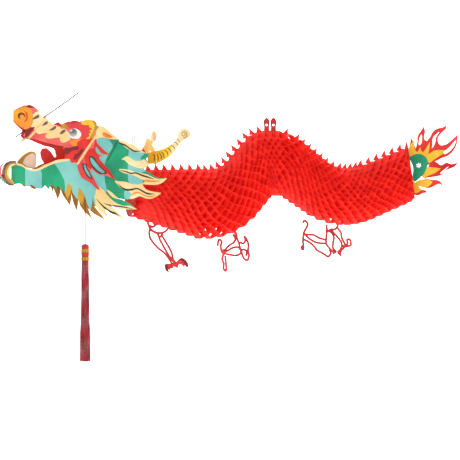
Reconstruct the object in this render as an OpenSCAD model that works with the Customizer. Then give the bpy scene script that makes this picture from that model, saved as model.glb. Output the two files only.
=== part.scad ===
// Hanging paper dragon: a honeycomb tissue body that gathers and bends, a slot-together
// card head, four cut-paper legs, a card tail fan and a silk tassel.
// +Z is up, the dragon looks along -X, and the origin is the thread hole in the front crest tab.

/* [Body] */
// Half-height of the honeycomb leaves at the neck
neck_r = 52; // [44:1:60]
// Half-height of the honeycomb leaves at the front trough
trough_r = 77; // [66:1:82]
// Half-height of the honeycomb leaves at the crest
crest_r = 72; // [62:1:78]
// Half-height of the honeycomb leaves at the tail
tail_r = 59; // [48:1:64]
// Half-width of a leaf as a share of its half-height
leaf_aspect = 0.77; // [0.6:0.01:0.8]
// Height of the thorn on top of an ordinary leaf
thorn_h = 13; // [8:1:16]
// Height of the tab on a crest leaf, which takes the thread
crest_tab_h = 28; // [24:1:34]
// Thickness of a glued pair of tissue leaves
leaf_t = 0.4; // [0.3:0.05:0.8]
// Share of the body's slope that the leaves lean by
leaf_lean = 0.35; // [0.25:0.01:0.45]
// Gap between the two crest leaves
crest_gap = 15; // [10:1:20]

/* [Body runs] */
// Length of the neck, from the front card to the front legs' leaf
neck_run = 72; // [60:1:88]
// Length of the shoulder, from the front legs' leaf to the front trough
shoulder_run = 75; // [62:1:92]
// Length along the front half of the front trough
front_trough_run = 60; // [50:1:72]
// Turn of the front half of the front trough in degrees
front_trough_turn = 34; // [28:1:36]
// Length along the rear half of the front trough
belly_run = 44; // [36:1:54]
// Turn of the rear half of the front trough in degrees
belly_turn = 25; // [20:1:27]
// Length of the rise to the crest
rise_run = 56; // [46:1:68]
// Length of the crest in front of its leaves
crest_front_run = 28; // [27:1:40]
// Turn of the crest in front of its leaves in degrees
crest_front_turn = 50; // [40:1:52]
// Length of the crest behind its leaves
crest_rear_run = 38; // [32:1:48]
// Turn of the crest behind its leaves in degrees
crest_rear_turn = 37; // [30:1:38]
// Length of the fall behind the crest
fall_run = 65; // [54:1:80]
// Length of each half of the rear trough
rear_trough_run = 59; // [50:1:72]
// Turn of each half of the rear trough in degrees
rear_trough_turn = 30; // [24:1:32]
// Length of the tail run
tail_run = 112; // [94:1:134]

/* [Head] */
// Half-width between the head cards at the neck card
head_half_w = 78; // [74:1:90]
// Length from the neck card to the crease at the nose
head_len = 275; // [260:1:300]
// Turn of the head towards its left side in degrees
head_yaw = 20; // [10:1:22]
// Thickness of the printed card
card_t = 0.5; // [0.4:0.05:0.8]
// Gap between the face card and the jaw card where they overlap
card_gap = 1; // [0.8:0.1:2]
// Clearance of a spreader in its slot on each side
slot_gap = 0.2; // [0.15:0.05:0.4]
// How far a spreader stands out through the head cards
spreader_proud = 3; // [2:0.5:5]
// Radius of the eye
eye_r = 11; // [8:0.5:13]
// Radius of the whisker wire
whisker_r = 0.6; // [0.4:0.1:1]
// Length of a horn, from its slot to the middle of its curl
horn_len = 90; // [72:1:106]
// Radius of the curl at a horn's end
horn_curl_r = 12; // [9:0.5:14]

/* [Legs] */
// Height of the front legs, from the belly to the claws
front_leg_h = 100; // [84:1:120]
// Height of the hind legs, from the belly to the claws
hind_leg_h = 66; // [55:1:80]
// Distance of the legs from the middle plane
leg_offset = 16; // [12:1:24]

/* [Tail fan] */
// Radius of the tail fan's round middle
fan_r = 30; // [25:1:36]
// Length of the tail fan's longest flame, from its middle
flame_len = 119; // [98:1:132]
// Radius of the star hole that takes the rear thread
star_r = 5; // [4:0.5:6]

/* [Tassel] */
// Free length of the tassel cord
cord_len = 106; // [88:1:128]
// Diameter of the tassel cord
cord_d = 2; // [1.4:0.1:2.6]
// Radius of the tassel's cap
cap_r = 8.5; // [7:0.5:11]
// Height of the tassel's cap
cap_h = 36; // [30:1:44]
// Length of the tassel's skirt
skirt_len = 222; // [180:1:270]
// Radius of the skirt at its lower end
skirt_r = 12; // [10:0.5:15]

/* [Hidden] */
$fn = 48;

thread_hole_r = 2.5;                  // hole for the hanging thread
thread_hole_drop = 16;                // from the top of a crest tab down to its hole
crest_z = thread_hole_drop - crest_r - crest_tab_h;
tab_root = 4;                         // how deep a thorn or tab runs down into its leaf
thorn_half_w = 3;
tab_half_w = 6;
tab_clearance = 0.1;                  // between a tab and the notch in its leaf
tab_top_r = 5;                        // radius of a crest tab's rounded top
prong_h = 76;                         // prongs on the front end card, for its thread
prong_w = 3.5;
prong_gap = 7;                        // from the middle plane to a prong's middle
prong_root = 6;                       // how deep a prong's foot runs into the card

// Leaves between the ends of each run
neck_leaves = 4;
shoulder_leaves = 4;
front_trough_leaves = 3;
belly_leaves = 2;
rise_leaves = 3;
crest_front_leaves = 3;
crest_rear_leaves = 2;
fall_leaves = 4;
hind_leaves = 3;
rear_trough_leaves = 4;
tail_leaves = 6;

trough_length = crest_front_run + rise_run + belly_run + front_trough_run;
front_length = trough_length + shoulder_run + neck_run;
rear_length = crest_rear_run + fall_run + 2 * rear_trough_run + tail_run;

// A station is [x, z, slope in degrees, distance from the crest, +1 behind it and -1 in front].
// advance() goes a share of a run of the given length and turn along the body.
function advance(at, run, turn, share) =
    let (a = at[2], t = turn * share, d = at[4], r = turn == 0 ? 0 : run / (turn * PI / 180))
    turn == 0
        ? [at[0] + d * run * share * cos(a), at[1] + d * run * share * sin(a), a,
           at[3] + run * share, d]
        : [at[0] + d * r * (sin(a + t) - sin(a)), at[1] + d * r * (cos(a) - cos(a + t)), a + t,
           at[3] + run * share, d];

crest_front_at = [0, crest_z, 0, 0, -1];
rise_top_at = advance(crest_front_at, crest_front_run, crest_front_turn, 1);
rise_foot_at = advance(rise_top_at, rise_run, 0, 1);
front_right_at = advance(rise_foot_at, belly_run, -belly_turn, 1);
trough_front_at = advance(front_right_at, front_trough_run, -front_trough_turn, 1);
front_left_at = advance(trough_front_at, shoulder_run, 0, 1);
neck_at = advance(front_left_at, neck_run, 0, 1);

crest_rear_at = [crest_gap, crest_z, 0, 0, 1];
fall_top_at = advance(crest_rear_at, crest_rear_run, -crest_rear_turn, 1);
fall_foot_at = advance(fall_top_at, fall_run, 0, 1);
hind_at = advance(fall_foot_at, rear_trough_run, rear_trough_turn, 1);
tail_run_at = advance(hind_at, rear_trough_run, rear_trough_turn, 1);
tail_at = advance(tail_run_at, tail_run, 0, 1);

// Half-height of the leaf at a station: it swells to the front trough and narrows to both ends
function leaf_r(at) = at[4] > 0
    ? crest_r + (tail_r - crest_r) * sqrt(at[3] / rear_length)
    : at[3] < trough_length
        ? crest_r + (trough_r - crest_r) * at[3] / trough_length
        : trough_r + (neck_r - trough_r) * (at[3] - trough_length) / (shoulder_run + neck_run);

// Places its children at a station, leaning with the body, with local +Z towards the back's thorn
module at_station(at, yaw = 0) {
    translate([at[0], 0, at[1]])
        rotate([0, 0, yaw])
            rotate([0, -leaf_lean * at[2], 0])
                children();
}

function leaf_oval(r) = [for (i = [0 : 35]) [leaf_aspect * r * sin(10 * i), r * cos(10 * i)]];

// A tall oval plate across the body
module oval_plate(r, t) {
    rotate([90, 0, 90]) linear_extrude(t, center = true) polygon(leaf_oval(r));
}

// One leaf: an oval plate with a thorn along the body on top of it
module leaf_plate(r, t) {
    oval_plate(r, t);
    upright_plate(t)
        polygon([[-thorn_half_w, r - tab_root], [thorn_half_w, r - tab_root], [0, r + thorn_h]]);
}

// Extrudes its child across the middle plane, with its x along the body and its y up
module upright_plate(t) {
    rotate([90, 0, 0]) linear_extrude(t, center = true) children();
}

module leaf(at, yaw = 0) {
    at_station(at, yaw) leaf_plate(leaf_r(at), leaf_t);
}

// The leaves strictly between the two ends of a run
module honeycomb(at, run, turn, count) {
    color("tomato")
        for (i = [1 : count - 1])
            leaf(advance(at, run, turn, i / count));
}

module front_end_card() {
    color("red") at_station(neck_at, head_yaw) {
        leaf_plate(neck_r, card_t);
        for (y = [-prong_gap, prong_gap])
            translate([-card_t / 2, y - prong_w / 2, neck_r - prong_root])
                cube([card_t, prong_w, prong_root + prong_h]);
    }
}

module front_left_leaf() color("red") leaf(front_left_at);
module front_right_leaf() color("red") leaf(front_right_at);
module front_trough_leaf() color("red") leaf(trough_front_at);
module rise_leaf() color("red") leaf(rise_foot_at);
module crest_front_leaf() color("red") leaf(rise_top_at);
module crest_rear_leaf() color("red") leaf(fall_top_at);
module fall_leaf() color("red") leaf(fall_foot_at);
module hind_leaf() color("red") leaf(hind_at);
module rear_trough_leaf() color("red") leaf(tail_run_at);

module tail_end_card() {
    color("red") at_station(tail_at) oval_plate(tail_r, card_t);
}

// One crest leaf's tab seen from the side: a tall plate with a rounded top
module crest_tab_shape(grow) {
    top = crest_r + crest_tab_h - tab_top_r;
    polygon(concat([[-tab_half_w - grow, crest_r - tab_root - grow],
                    [tab_half_w + grow, crest_r - tab_root - grow]],
                   [for (p = arc(tab_top_r + grow, 0, 180, 8)) [p[0], top + p[1]]]));
}

// Two leaves with a notch in the top of each, where a tab stands along the body
module crest_leaves() {
    color("red")
        for (at = [crest_front_at, crest_rear_at])
            at_station(at) difference() {
                oval_plate(crest_r, leaf_t);
                upright_plate(leaf_t + 2 * tab_clearance) crest_tab_shape(tab_clearance);
            }
}

// The two tabs, with a thread hole across each
module crest_tabs() {
    color("firebrick")
        for (at = [crest_front_at, crest_rear_at])
            at_station(at) difference() {
                upright_plate(leaf_t) crest_tab_shape(0);
                translate([0, 0, -crest_z])
                    rotate([90, 0, 0]) cylinder(h = 20 * leaf_t, r = thread_hole_r, center = true);
            }
}

module neck_honeycomb() {
    color("tomato")
        for (i = [1 : neck_leaves - 1])
            leaf(advance(front_left_at, neck_run, 0, i / neck_leaves), head_yaw * i / neck_leaves);
}
module shoulder_honeycomb() honeycomb(trough_front_at, shoulder_run, 0, shoulder_leaves);
module front_trough_honeycomb()
    honeycomb(front_right_at, front_trough_run, -front_trough_turn, front_trough_leaves);
module belly_honeycomb() honeycomb(rise_foot_at, belly_run, -belly_turn, belly_leaves);
module rise_honeycomb() honeycomb(rise_top_at, rise_run, 0, rise_leaves);
module crest_front_honeycomb()
    honeycomb(crest_front_at, crest_front_run, crest_front_turn, crest_front_leaves);
module crest_rear_honeycomb()
    honeycomb(crest_rear_at, crest_rear_run, -crest_rear_turn, crest_rear_leaves);
module fall_honeycomb() honeycomb(fall_top_at, fall_run, 0, fall_leaves);
module hind_honeycomb() honeycomb(fall_foot_at, rear_trough_run, rear_trough_turn, hind_leaves);
module rear_trough_honeycomb()
    honeycomb(hind_at, rear_trough_run, rear_trough_turn, rear_trough_leaves);
module tail_honeycomb() honeycomb(tail_run_at, tail_run, 0, tail_leaves);

// ---- Head. Its frame has its origin just over the neck card's middle, the nose along -X. ----

head_splay = atan(head_half_w / head_len);      // angle of each card half to the middle plane
head_lift = 2.2;                                // from the neck card's middle up to the head's
jaw_gap = 0.4;                                  // from the fold plane to the jaw card
face_gap = jaw_gap + card_t + card_gap;         // from the fold plane to the face card
jaw_setback = 2;                                // from the fold planes' meeting line back to
nose_setback = 10;                              // the middle of each card's rounded crease
card_low = -60;                                 // lowest and highest a head card may reach
card_high = 200;

function half_w(x) = head_half_w * (1 + x / head_len);

module in_head() {
    translate([neck_at[0], 0, neck_at[1] + head_lift])
        rotate([0, 0, head_yaw])
            children();
}

// Points on an arc round the origin
function arc(r, from, to, steps) =
    [for (i = [0 : steps]) let (a = from + (to - from) * i / steps) [r * cos(a), r * sin(a)]];

// Puts its children on the outside of the left card half: x runs back along the card from the
// fold planes' meeting line, y is up, and z points out of the card.
module on_left_half(gap) {
    translate([-head_len, 0, 0])
        rotate([0, 0, -head_splay])
            translate([0, -gap, 0])
                rotate([90, 0, 0])
                    children();
}

module on_half(side, gap) {
    mirror([0, side, 0]) on_left_half(gap) children();
}

// The end of a card half seen from above, off the fold plane, in the crease's frame
function half_end(setback, off) = let (back = 1.35 * head_len)
    [back * cos(head_splay) - off * sin(head_splay) - setback,
     back * sin(head_splay) + off * cos(head_splay)];

// One card folded at the nose: two flat halves of the same outline and a rounded crease
module folded_card(outline, gap, setback) {
    r = setback * sin(head_splay) + gap;
    a = 90 + head_splay;
    outer = half_end(setback, gap + card_t);
    inner = half_end(setback, gap);
    intersection() {
        translate([setback - head_len, 0, card_low])
            linear_extrude(card_high - card_low)
                polygon(concat([[outer[0], -outer[1]]], arc(r + card_t, 360 - a, a, 10),
                               [outer, inner], arc(r, a, 360 - a, 10),
                               [[inner[0], -inner[1]]]));
        translate([-head_len - (gap + card_t / 2) * sin(head_splay), 0, 0])
            rotate([90, 0, 0])
                linear_extrude(4 * head_half_w, center = true)
                    polygon([for (p = outline) [p[0] * cos(head_splay), p[1]]]);
    }
}

// Outlines in the card's own plane, with heights from the middle of the neck card
face_outline = [
    [-2, 152], [-2, 176], [23, 187], [39, 190], [52, 188], [63, 178], [80, 157], [102, 144],
    [118, 150], [147, 155], [162, 159], [180, 156], [193, 141], [203, 141], [217, 132], [227, 122],
    [206, 125], [192, 116], [197, 102],
    [215, 81], [195, 89], [200, 67], [234, 23], [208, 36], [184, 58], [184, 34], [193, 5],
    [171, 25], [138, 62], [125, 71], [116, 89], [102, 93], [67, 102], [34, 117], [28, 136]];

jaw_outline = [
    [-2, 24], [-2, 62], [14, 58], [36, 53], [52, 45], [69, 51], [91, 64], [109, 71], [138, 71],
    [158, 93], [173, 111], [186, 119], [224, 115], [264, 106], [283, 93], [268, 82], [301, 64],
    [279, 56], [312, 40], [340, 29], [301, 18], [327, -4], [292, -10], [257, -8], [270, -37],
    [235, -28], [208, -15], [213, -41], [186, -24], [164, 1], [155, -24], [142, 5], [116, 18],
    [80, 20], [69, 12], [54, 18], [36, 23], [25, 18]];

// Each spreader leans from its foot to its top, given as [x, z] in the head's frame
snout_foot = [-249, 111];
snout_top = [-202, 159];
forehead_foot = [-134, 64];
forehead_top = [-98, 122];
mane_foot = [-74, 68];
mane_top = [-50, 116];
mane_drop = 76;                 // from the mane plate's foot down to its lowest edge
tassel_hole_drop = 70;          // from the mane plate's foot down to the tassel's hole
tassel_hole_r = 1.6;

function lean(foot, top) = atan2(top[1] - foot[1], top[0] - foot[0]);

module on_spreader(foot, top) {
    translate([foot[0], 0, foot[1]])
        rotate([0, 90 - lean(foot, top), 0])
            rotate([90, 0, 90])
                children();
}

// A cross card: ears through both head cards, a narrow part below and a raised middle above
module spreader(foot, top, drop, rise) {
    run = norm(top - foot);
    outer = face_gap + card_t + spreader_proud;
    foot_w = half_w(foot[0]);
    top_w = half_w(top[0]);
    inside = 4;
    low_w = foot_w * 0.4;
    on_spreader(foot, top)
        linear_extrude(card_t, center = true)
            polygon([[-foot_w - outer, 0], [inside - foot_w, 0], [-low_w, -drop], [low_w, -drop],
                     [foot_w - inside, 0], [foot_w + outer, 0], [top_w + outer, run],
                     [top_w - inside, run], [top_w * 0.5, run + rise], [-top_w * 0.5, run + rise],
                     [inside - top_w, run], [-top_w - outer, run]]);
}

// The cuts in the head cards that the three spreaders pass through
module spreader_slots() {
    for (s = [[snout_foot, snout_top], [forehead_foot, forehead_top], [mane_foot, mane_top]])
        on_spreader(s[0], s[1])
            translate([-1.5 * head_half_w, -slot_gap, -card_t / 2 - slot_gap])
                cube([3 * head_half_w, norm(s[1] - s[0]) + 2 * slot_gap, card_t + 2 * slot_gap]);
}

module face_card() {
    color("orangered") in_head() difference() {
        folded_card(face_outline, face_gap, nose_setback);
        spreader_slots();
    }
}

module jaw_card() {
    color("mediumseagreen") in_head() difference() {
        folded_card(jaw_outline, jaw_gap, jaw_setback);
        spreader_slots();
    }
}

// A curled strip in front of the chin, its ends against the jaw card's crease
module chin_curl() {
    curl_r = 20;
    curl_w = 14;
    open_angle = 110;
    crease_x = jaw_setback - head_len - (jaw_setback * sin(head_splay) + jaw_gap + card_t);
    color("wheat") in_head()
        translate([crease_x - 0.1 - (curl_r - card_t) * cos(open_angle), 0, 43])
            rotate([90, 0, 0])
                linear_extrude(curl_w, center = true)
                    polygon(concat(arc(curl_r, open_angle, 360 - open_angle, 12),
                                   arc(curl_r - card_t, 360 - open_angle, open_angle, 12)));
}

module snout_plate() {
    color("wheat") in_head() difference() {
        spreader(snout_foot, snout_top, 4, 12);
        whisker_line(slot_gap + whisker_r);
    }
}

module forehead_plate() color("wheat") in_head() spreader(forehead_foot, forehead_top, 20, 10);

module mane_plate() {
    color("seagreen") in_head() difference() {
        spreader(mane_foot, mane_top, mane_drop, 8);
        on_spreader(mane_foot, mane_top)
            translate([0, -tassel_hole_drop, 0])
                cylinder(h = 10 * card_t, r = tassel_hole_r, center = true);
    }
}

// The eyes are domed foil discs on the outside of the face card
module eye(side) {
    dome_h = 3.5;
    dome_r = (eye_r * eye_r + dome_h * dome_h) / (2 * dome_h);
    color("silver") in_head() on_half(side, face_gap + card_t + 0.1)
        translate([135, 129, 0])
            intersection() {
                translate([0, 0, dome_h - dome_r]) sphere(r = dome_r);
                cylinder(h = dome_h, r = eye_r);
            }
}
module left_eye() eye(0);
module right_eye() eye(1);

// Flat pieces that stand in the middle plane between the two card halves
module mid_plane_card(outline, t) {
    in_head()
        rotate([90, 0, 0])
            linear_extrude(t, center = true)
                polygon(outline);
}

module tongue() {
    color("crimson")
        mid_plane_card([[-143, 82], [-160, 78], [-176, 76], [-184, 88], [-194, 96], [-204, 95],
                        [-209, 86], [-206, 72], [-198, 60], [-186, 56], [-176, 62], [-160, 68],
                        [-143, 69]], card_t);
}

module fang() {
    color("gold")
        mid_plane_card([[-262, 64], [-250, 78], [-236, 87], [-227, 89], [-218, 84], [-217, 66],
                        [-220, 50], [-236, 52]], card_t);
}

whisker_low = [-265, 119];
whisker_high = [-120, 218];

module whisker_line(r) {
    translate([whisker_low[0], 0, whisker_low[1]])
        rotate([0, 90 - lean(whisker_low, whisker_high), 0])
            cylinder(h = norm(whisker_high - whisker_low), r = r);
}
module whisker_wire() color("dimgray") in_head() whisker_line(whisker_r);

// Horns: flat card blades that sweep up and outwards from the bridge to a round curl
horn_foot = [40, 55, 72];
horn_flare = 42;
horn_rise = 40;
horn_foot_w = 24;
horn_neck_w = 12;

module horn(side) {
    tip = [horn_len * cos(horn_rise), horn_len * sin(horn_rise)];
    color("gold") in_head() mirror([0, 1 - side, 0])
        translate(horn_foot)
            rotate([0, 0, horn_flare])
                rotate([90, 0, 0]) {
                    linear_extrude(card_t, center = true)
                        polygon([[2, -horn_foot_w / 2], [2, horn_foot_w / 2],
                                 [tip[0] * 0.5, tip[1] * 0.5 + horn_neck_w / 2],
                                 [tip[0] - 4, tip[1] + horn_neck_w / 2],
                                 [tip[0] + 6, tip[1] - horn_neck_w / 2],
                                 [tip[0] * 0.6, tip[1] * 0.5 - horn_neck_w]]);
                    translate(tip) cylinder(h = card_t, r = horn_curl_r, center = true);
                }
}
module left_horn() horn(0);
module right_horn() horn(1);

// Arched card across the top of the mane that carries both horns
module horn_bridge() {
    color("gold") in_head()
        translate([horn_foot[0], 0, 0])
            rotate([90, 0, 90])
                linear_extrude(card_t, center = true)
                    polygon([[-58, 58], [-50, 58], [-34, 80], [-16, 92], [16, 92], [34, 80],
                             [50, 58], [58, 58], [58, 84], [40, 98], [22, 106], [12, 118],
                             [-12, 118], [-22, 106], [-40, 98], [-58, 84]]);
}

// Folded ends of the mane plate's ears, which lock it outside the jaw card
module lock_tabs() {
    tab = [[-9, -6], [9, -6], [0, 7]];
    color("red") in_head()
        for (side = [0, 1])
            for (p = [[228, 62], [288, 88]])
                on_half(side, jaw_gap + card_t + 0.2)
                    translate([p[0], p[1], 0])
                        linear_extrude(card_t)
                            polygon(tab);
}

// Card strip from the front end card to the mane plate, which flexes when the head nods
module neck_strip() {
    strip_w = 24;
    strip_z = 40;
    plate_x = mane_foot[0] - (mane_foot[1] - strip_z) / tan(lean(mane_foot, mane_top));
    card_x = -(strip_z + head_lift) * tan(leaf_lean * neck_at[2]);
    color("firebrick") in_head()
        translate([plate_x + 1, -strip_w / 2, strip_z])
            cube([card_x - plate_x - 1.4, strip_w, card_t]);
}

// ---- Tassel ----

tassel_x = mane_foot[0] - tassel_hole_drop * cos(lean(mane_foot, mane_top));
tassel_z = mane_foot[1] - tassel_hole_drop * sin(lean(mane_foot, mane_top));
knot_r = 2.6;
knot_gap = 1;

// Its frame has the middle of the tassel's hole at the origin
module in_tassel() {
    in_head() translate([tassel_x, 0, tassel_z]) children();
}

// Knot in the cord just under the plate's lowest edge
knot_z = -(mane_drop - tassel_hole_drop) - knot_r - knot_gap;
module tassel_knot() color("darkred") in_tassel() translate([0, 0, knot_z]) sphere(r = knot_r);

cord_top = knot_z - knot_r - knot_gap;
// Height of the route's points, from the top of the cord down, as shares of its length
cord_route = [for (i = [0 : 20]) i / 20];
cord_sides = 8;

module tassel_cord() {
    rings = len(cord_route);
    points = [for (share = cord_route) for (i = [0 : cord_sides - 1])
        [cord_d / 2 * cos(360 * i / cord_sides), cord_d / 2 * sin(360 * i / cord_sides),
         cord_top - share * cord_len]];
    sides = [for (k = [0 : rings - 2]) for (i = [0 : cord_sides - 1])
        let (j = (i + 1) % cord_sides)
        [k * cord_sides + i, (k + 1) * cord_sides + i, (k + 1) * cord_sides + j,
         k * cord_sides + j]];
    first = [for (i = [0 : cord_sides - 1]) i];
    last = [for (i = [cord_sides - 1 : -1 : 0]) (rings - 1) * cord_sides + i];
    color("darkred") in_tassel() polyhedron(points, concat(sides, [first, last]));
}

cap_top = cord_top - cord_len;
band_t = 0.8;

module tassel_cap() {
    color("red") in_tassel() translate([0, 0, cap_top - cap_h])
        rotate_extrude()
            polygon([[0, 0], [cap_r, 0], [cap_r, cap_h * 0.8], [cap_r * 0.7, cap_h],
                     [0, cap_h]]);
}

// Two gold foil bands round the cap
module tassel_bands() {
    color("gold") in_tassel()
        for (share = [0, 0.5])
            translate([0, 0, cap_top - cap_h + share * cap_h])
                difference() {
                    cylinder(h = cap_h * 0.2, r = cap_r + band_t);
                    translate([0, 0, -1]) cylinder(h = cap_h, r = cap_r + 0.05);
                }
}

module tassel_skirt() {
    color("crimson") in_tassel() translate([0, 0, cap_top - cap_h - skirt_len])
        rotate_extrude()
            polygon([[0, 0], [skirt_r, 0], [skirt_r, skirt_len * 0.3], [cap_r, skirt_len - 0.1],
                     [0, skirt_len - 0.1]]);
}

// ---- Legs: flat cut paper, hung by a fold from the belly ----

leg_gap = 1.5;          // from the belly to the leg's fold

// The lowest point of the leaf at a station
function belly(at) = [at[0] + leaf_r(at) * sin(leaf_lean * at[2]),
                      at[1] - leaf_r(at) * cos(leaf_lean * at[2])];

module leg(at, side, shift, size, outline, openings) {
    foot = belly(at);
    translate([foot[0] + shift, side * leg_offset, foot[1] - leg_gap])
        rotate([90, 0, 0])
            scale(size)
                linear_extrude(0.5, center = true)
                    difference() {
                        polygon(outline);
                        for (hole = openings) polygon(hole);
                    }
}

// Outlines of 100 mm front legs and 66 mm hind legs, from the middle of each leg's fold
near_front = [[-21, -1], [23, -1], [16, -10], [8, -17], [19, -34], [27, -52], [34, -69], [45, -66],
              [54, -64], [63, -72], [63, -89], [54, -80], [45, -80], [38, -89], [25, -87],
              [24, -97], [14, -91], [13, -79], [23, -76], [12, -56], [-3, -43], [-16, -28],
              [-22, -12]];
near_front_holes = [[[-17, -10], [-8, -14], [14, -50], [20, -66], [8, -48], [-12, -27]],
                    [[4, -22], [13, -35], [24, -54], [28, -66], [16, -46]]];
far_front = [[17, 0], [24, 0], [32, -22], [39, -20], [42, -5], [51, -24], [53, -44], [49, -57],
             [39, -53], [32, -44], [24, -47], [4, -44], [2, -75], [0, -80], [-5, -75], [-7, -48],
             [-12, -35], [-17, -22], [-13, -12], [-7, -17], [-7, -33], [6, -24], [19, -16]];
far_front_holes = [[[8, -38], [24, -32], [29, -36], [24, -43]], [[41, -37], [47, -39], [49, -50]],
                   [[38, -26], [46, -17], [48, -32]]];
near_hind = [[-16, 0], [-6, 0], [-9, -10], [0, -19], [1, -39], [6, -59], [-5, -61], [-12, -68],
             [-22, -63], [-37, -56], [-52, -39], [-66, -32], [-66, -53], [-74, -52], [-72, -39],
             [-70, -19], [-64, -6], [-70, 4], [-59, 7], [-57, -2], [-61, -17], [-44, -20],
             [-20, -30], [-20, -12]];
near_hind_holes = [[[-58, -26], [-48, -33], [-20, -44], [-12, -58], [-20, -59], [-42, -49]],
                   [[-48, -24], [-22, -34], [-24, -38], [-42, -31]],
                   [[-11, -15], [-5, -24], [-6, -44], [-13, -36]]];
far_hind = [[-9, -1], [2, -1], [6, -17], [12, -37], [17, -30], [26, -32], [26, -45], [17, -45],
            [8, -56], [6, -66], [-3, -59], [4, -48], [1, -34], [-12, -19]];
far_hind_holes = [[[-5, -6], [1, -17], [-4, -18]]];

module front_left_leg()
    color("darkred") leg(front_left_at, -1, -5.5, front_leg_h / 100, near_front, near_front_holes);
module front_right_leg()
    color("darkred") leg(front_right_at, 1, -7, front_leg_h / 100, far_front, far_front_holes);
module hind_left_leg()
    color("darkred") leg(hind_at, -1, -6, hind_leg_h / 66, near_hind, near_hind_holes);
module hind_right_leg()
    color("darkred") leg(hind_at, 1, 6, hind_leg_h / 66, far_hind, far_hind_holes);

// ---- Tail fan: a round middle with flames and a star hole, hinged on the tail end card ----

fan_gap = 2;                            // from the end card to the fan's front edge
fan_middle = [11, 11];                  // from the end card's middle to the fan's middle
star_middle = [19.5, 13.5];
// Each flame is its direction in degrees and its share of the longest one's length
flames = [[102, 0.54], [90, 0.56], [70, 0.78], [45, 1], [30, 1], [-2, 0.8], [-42, 0.62],
          [-74, 0.5]];

module tail_fan() {
    flame_foot = fan_r * 0.7;
    flame_half_w = 11;
    reach = 2 * flame_len;
    color("orange") at_station(tail_at)
        rotate([90, 0, 0])
            linear_extrude(card_t, center = true)
                difference() {
                    translate(fan_middle) {
                        circle(r = fan_r);
                        for (f = flames)
                            rotate(f[0])
                                polygon([[flame_foot, -flame_half_w], [flame_len * f[1], 0],
                                         [flame_foot, flame_half_w]]);
                    }
                    translate([fan_gap - reach, -reach]) square([reach, 2 * reach]);
                    translate(star_middle)
                        for (turn = [0, 60])
                            rotate(turn) circle(r = star_r, $fn = 3);
                }
}

front_end_card();
front_left_leaf();
front_trough_leaf();
front_right_leaf();
rise_leaf();
crest_front_leaf();
crest_leaves();
crest_tabs();
crest_rear_leaf();
fall_leaf();
hind_leaf();
rear_trough_leaf();
tail_end_card();
neck_honeycomb();
shoulder_honeycomb();
front_trough_honeycomb();
belly_honeycomb();
rise_honeycomb();
crest_front_honeycomb();
crest_rear_honeycomb();
fall_honeycomb();
hind_honeycomb();
rear_trough_honeycomb();
tail_honeycomb();
neck_strip();
face_card();
jaw_card();
chin_curl();
snout_plate();
forehead_plate();
mane_plate();
left_eye();
right_eye();
tongue();
fang();
whisker_wire();
left_horn();
right_horn();
horn_bridge();
lock_tabs();
tassel_knot();
tassel_cord();
tassel_cap();
tassel_bands();
tassel_skirt();
front_left_leg();
front_right_leg();
hind_left_leg();
hind_right_leg();
tail_fan();
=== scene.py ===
import math
import random

import bpy
import bmesh
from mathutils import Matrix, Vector, geometry, noise


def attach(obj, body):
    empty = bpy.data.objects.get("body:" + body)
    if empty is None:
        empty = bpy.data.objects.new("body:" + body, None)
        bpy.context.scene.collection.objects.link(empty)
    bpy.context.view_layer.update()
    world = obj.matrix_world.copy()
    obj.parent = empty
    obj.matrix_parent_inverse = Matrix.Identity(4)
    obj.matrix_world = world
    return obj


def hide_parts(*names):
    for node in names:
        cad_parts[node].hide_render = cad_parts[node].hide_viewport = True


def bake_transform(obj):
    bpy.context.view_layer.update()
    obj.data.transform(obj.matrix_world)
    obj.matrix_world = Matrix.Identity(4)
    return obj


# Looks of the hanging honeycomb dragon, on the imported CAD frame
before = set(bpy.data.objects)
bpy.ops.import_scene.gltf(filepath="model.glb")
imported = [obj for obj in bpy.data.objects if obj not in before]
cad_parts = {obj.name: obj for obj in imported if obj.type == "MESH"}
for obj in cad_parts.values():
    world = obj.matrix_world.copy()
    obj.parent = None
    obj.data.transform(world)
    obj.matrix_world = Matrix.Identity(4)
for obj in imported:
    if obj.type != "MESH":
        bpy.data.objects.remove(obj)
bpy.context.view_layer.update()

random.seed(7)
MM = 0.001

# ---- Driving sizes, in millimetres, as in the CAD source ----
CREST_GAP = 15
CREST_R, TROUGH_R, NECK_R, TAIL_R = 72, 77, 52, 59
CREST_TAB_H, HOLE_DROP_TAB = 28, 16
CREST_Z = HOLE_DROP_TAB - CREST_R - CREST_TAB_H
LEAF_ASPECT = 0.77
LEAF_LEAN = 0.35
CARD_T, STRIP_T = 0.5, 0.35
THREAD_HOLE_R = 2.5
WHISKER_R = 1.2
HEAD_LEN, HEAD_HALF_W, HEAD_YAW, HEAD_LIFT = 275, 78, 20, 2.2
JAW_GAP, FACE_GAP = 0.4, 1.9
JAW_SETBACK, NOSE_SETBACK = 2, 10
CORD_LEN, CORD_D = 106, 2
CAP_R, CAP_H, SKIRT_LEN, SKIRT_R = 8.5, 36, 222, 12
LEG_OFFSET, LEG_GAP = 16, 1.5

# ---- Camera: level, far away and long, square to the dragon's left side ----
FRAME_WIDTH = 1.012
CAMERA_DISTANCE = 9.0
CAMERA_AIM = (-0.0805, 0, -0.231)


def make_camera():
    data = bpy.data.cameras.new("camera")
    data.sensor_width = 36
    data.lens = data.sensor_width * CAMERA_DISTANCE / FRAME_WIDTH
    camera = bpy.data.objects.new("camera", data)
    bpy.context.collection.objects.link(camera)
    camera.location = (CAMERA_AIM[0], -CAMERA_DISTANCE, CAMERA_AIM[2])
    camera.rotation_euler = (math.pi / 2, 0, 0)
    bpy.context.scene.camera = camera


make_camera()


# ---- Small helpers ----
def rgb(r, g, b):
    """A linear colour from an 0-255 sRGB one."""
    return tuple((c / 255 / 12.92) if c < 10 else ((c / 255 + 0.055) / 1.055) ** 2.4 for c in (r, g, b))


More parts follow.
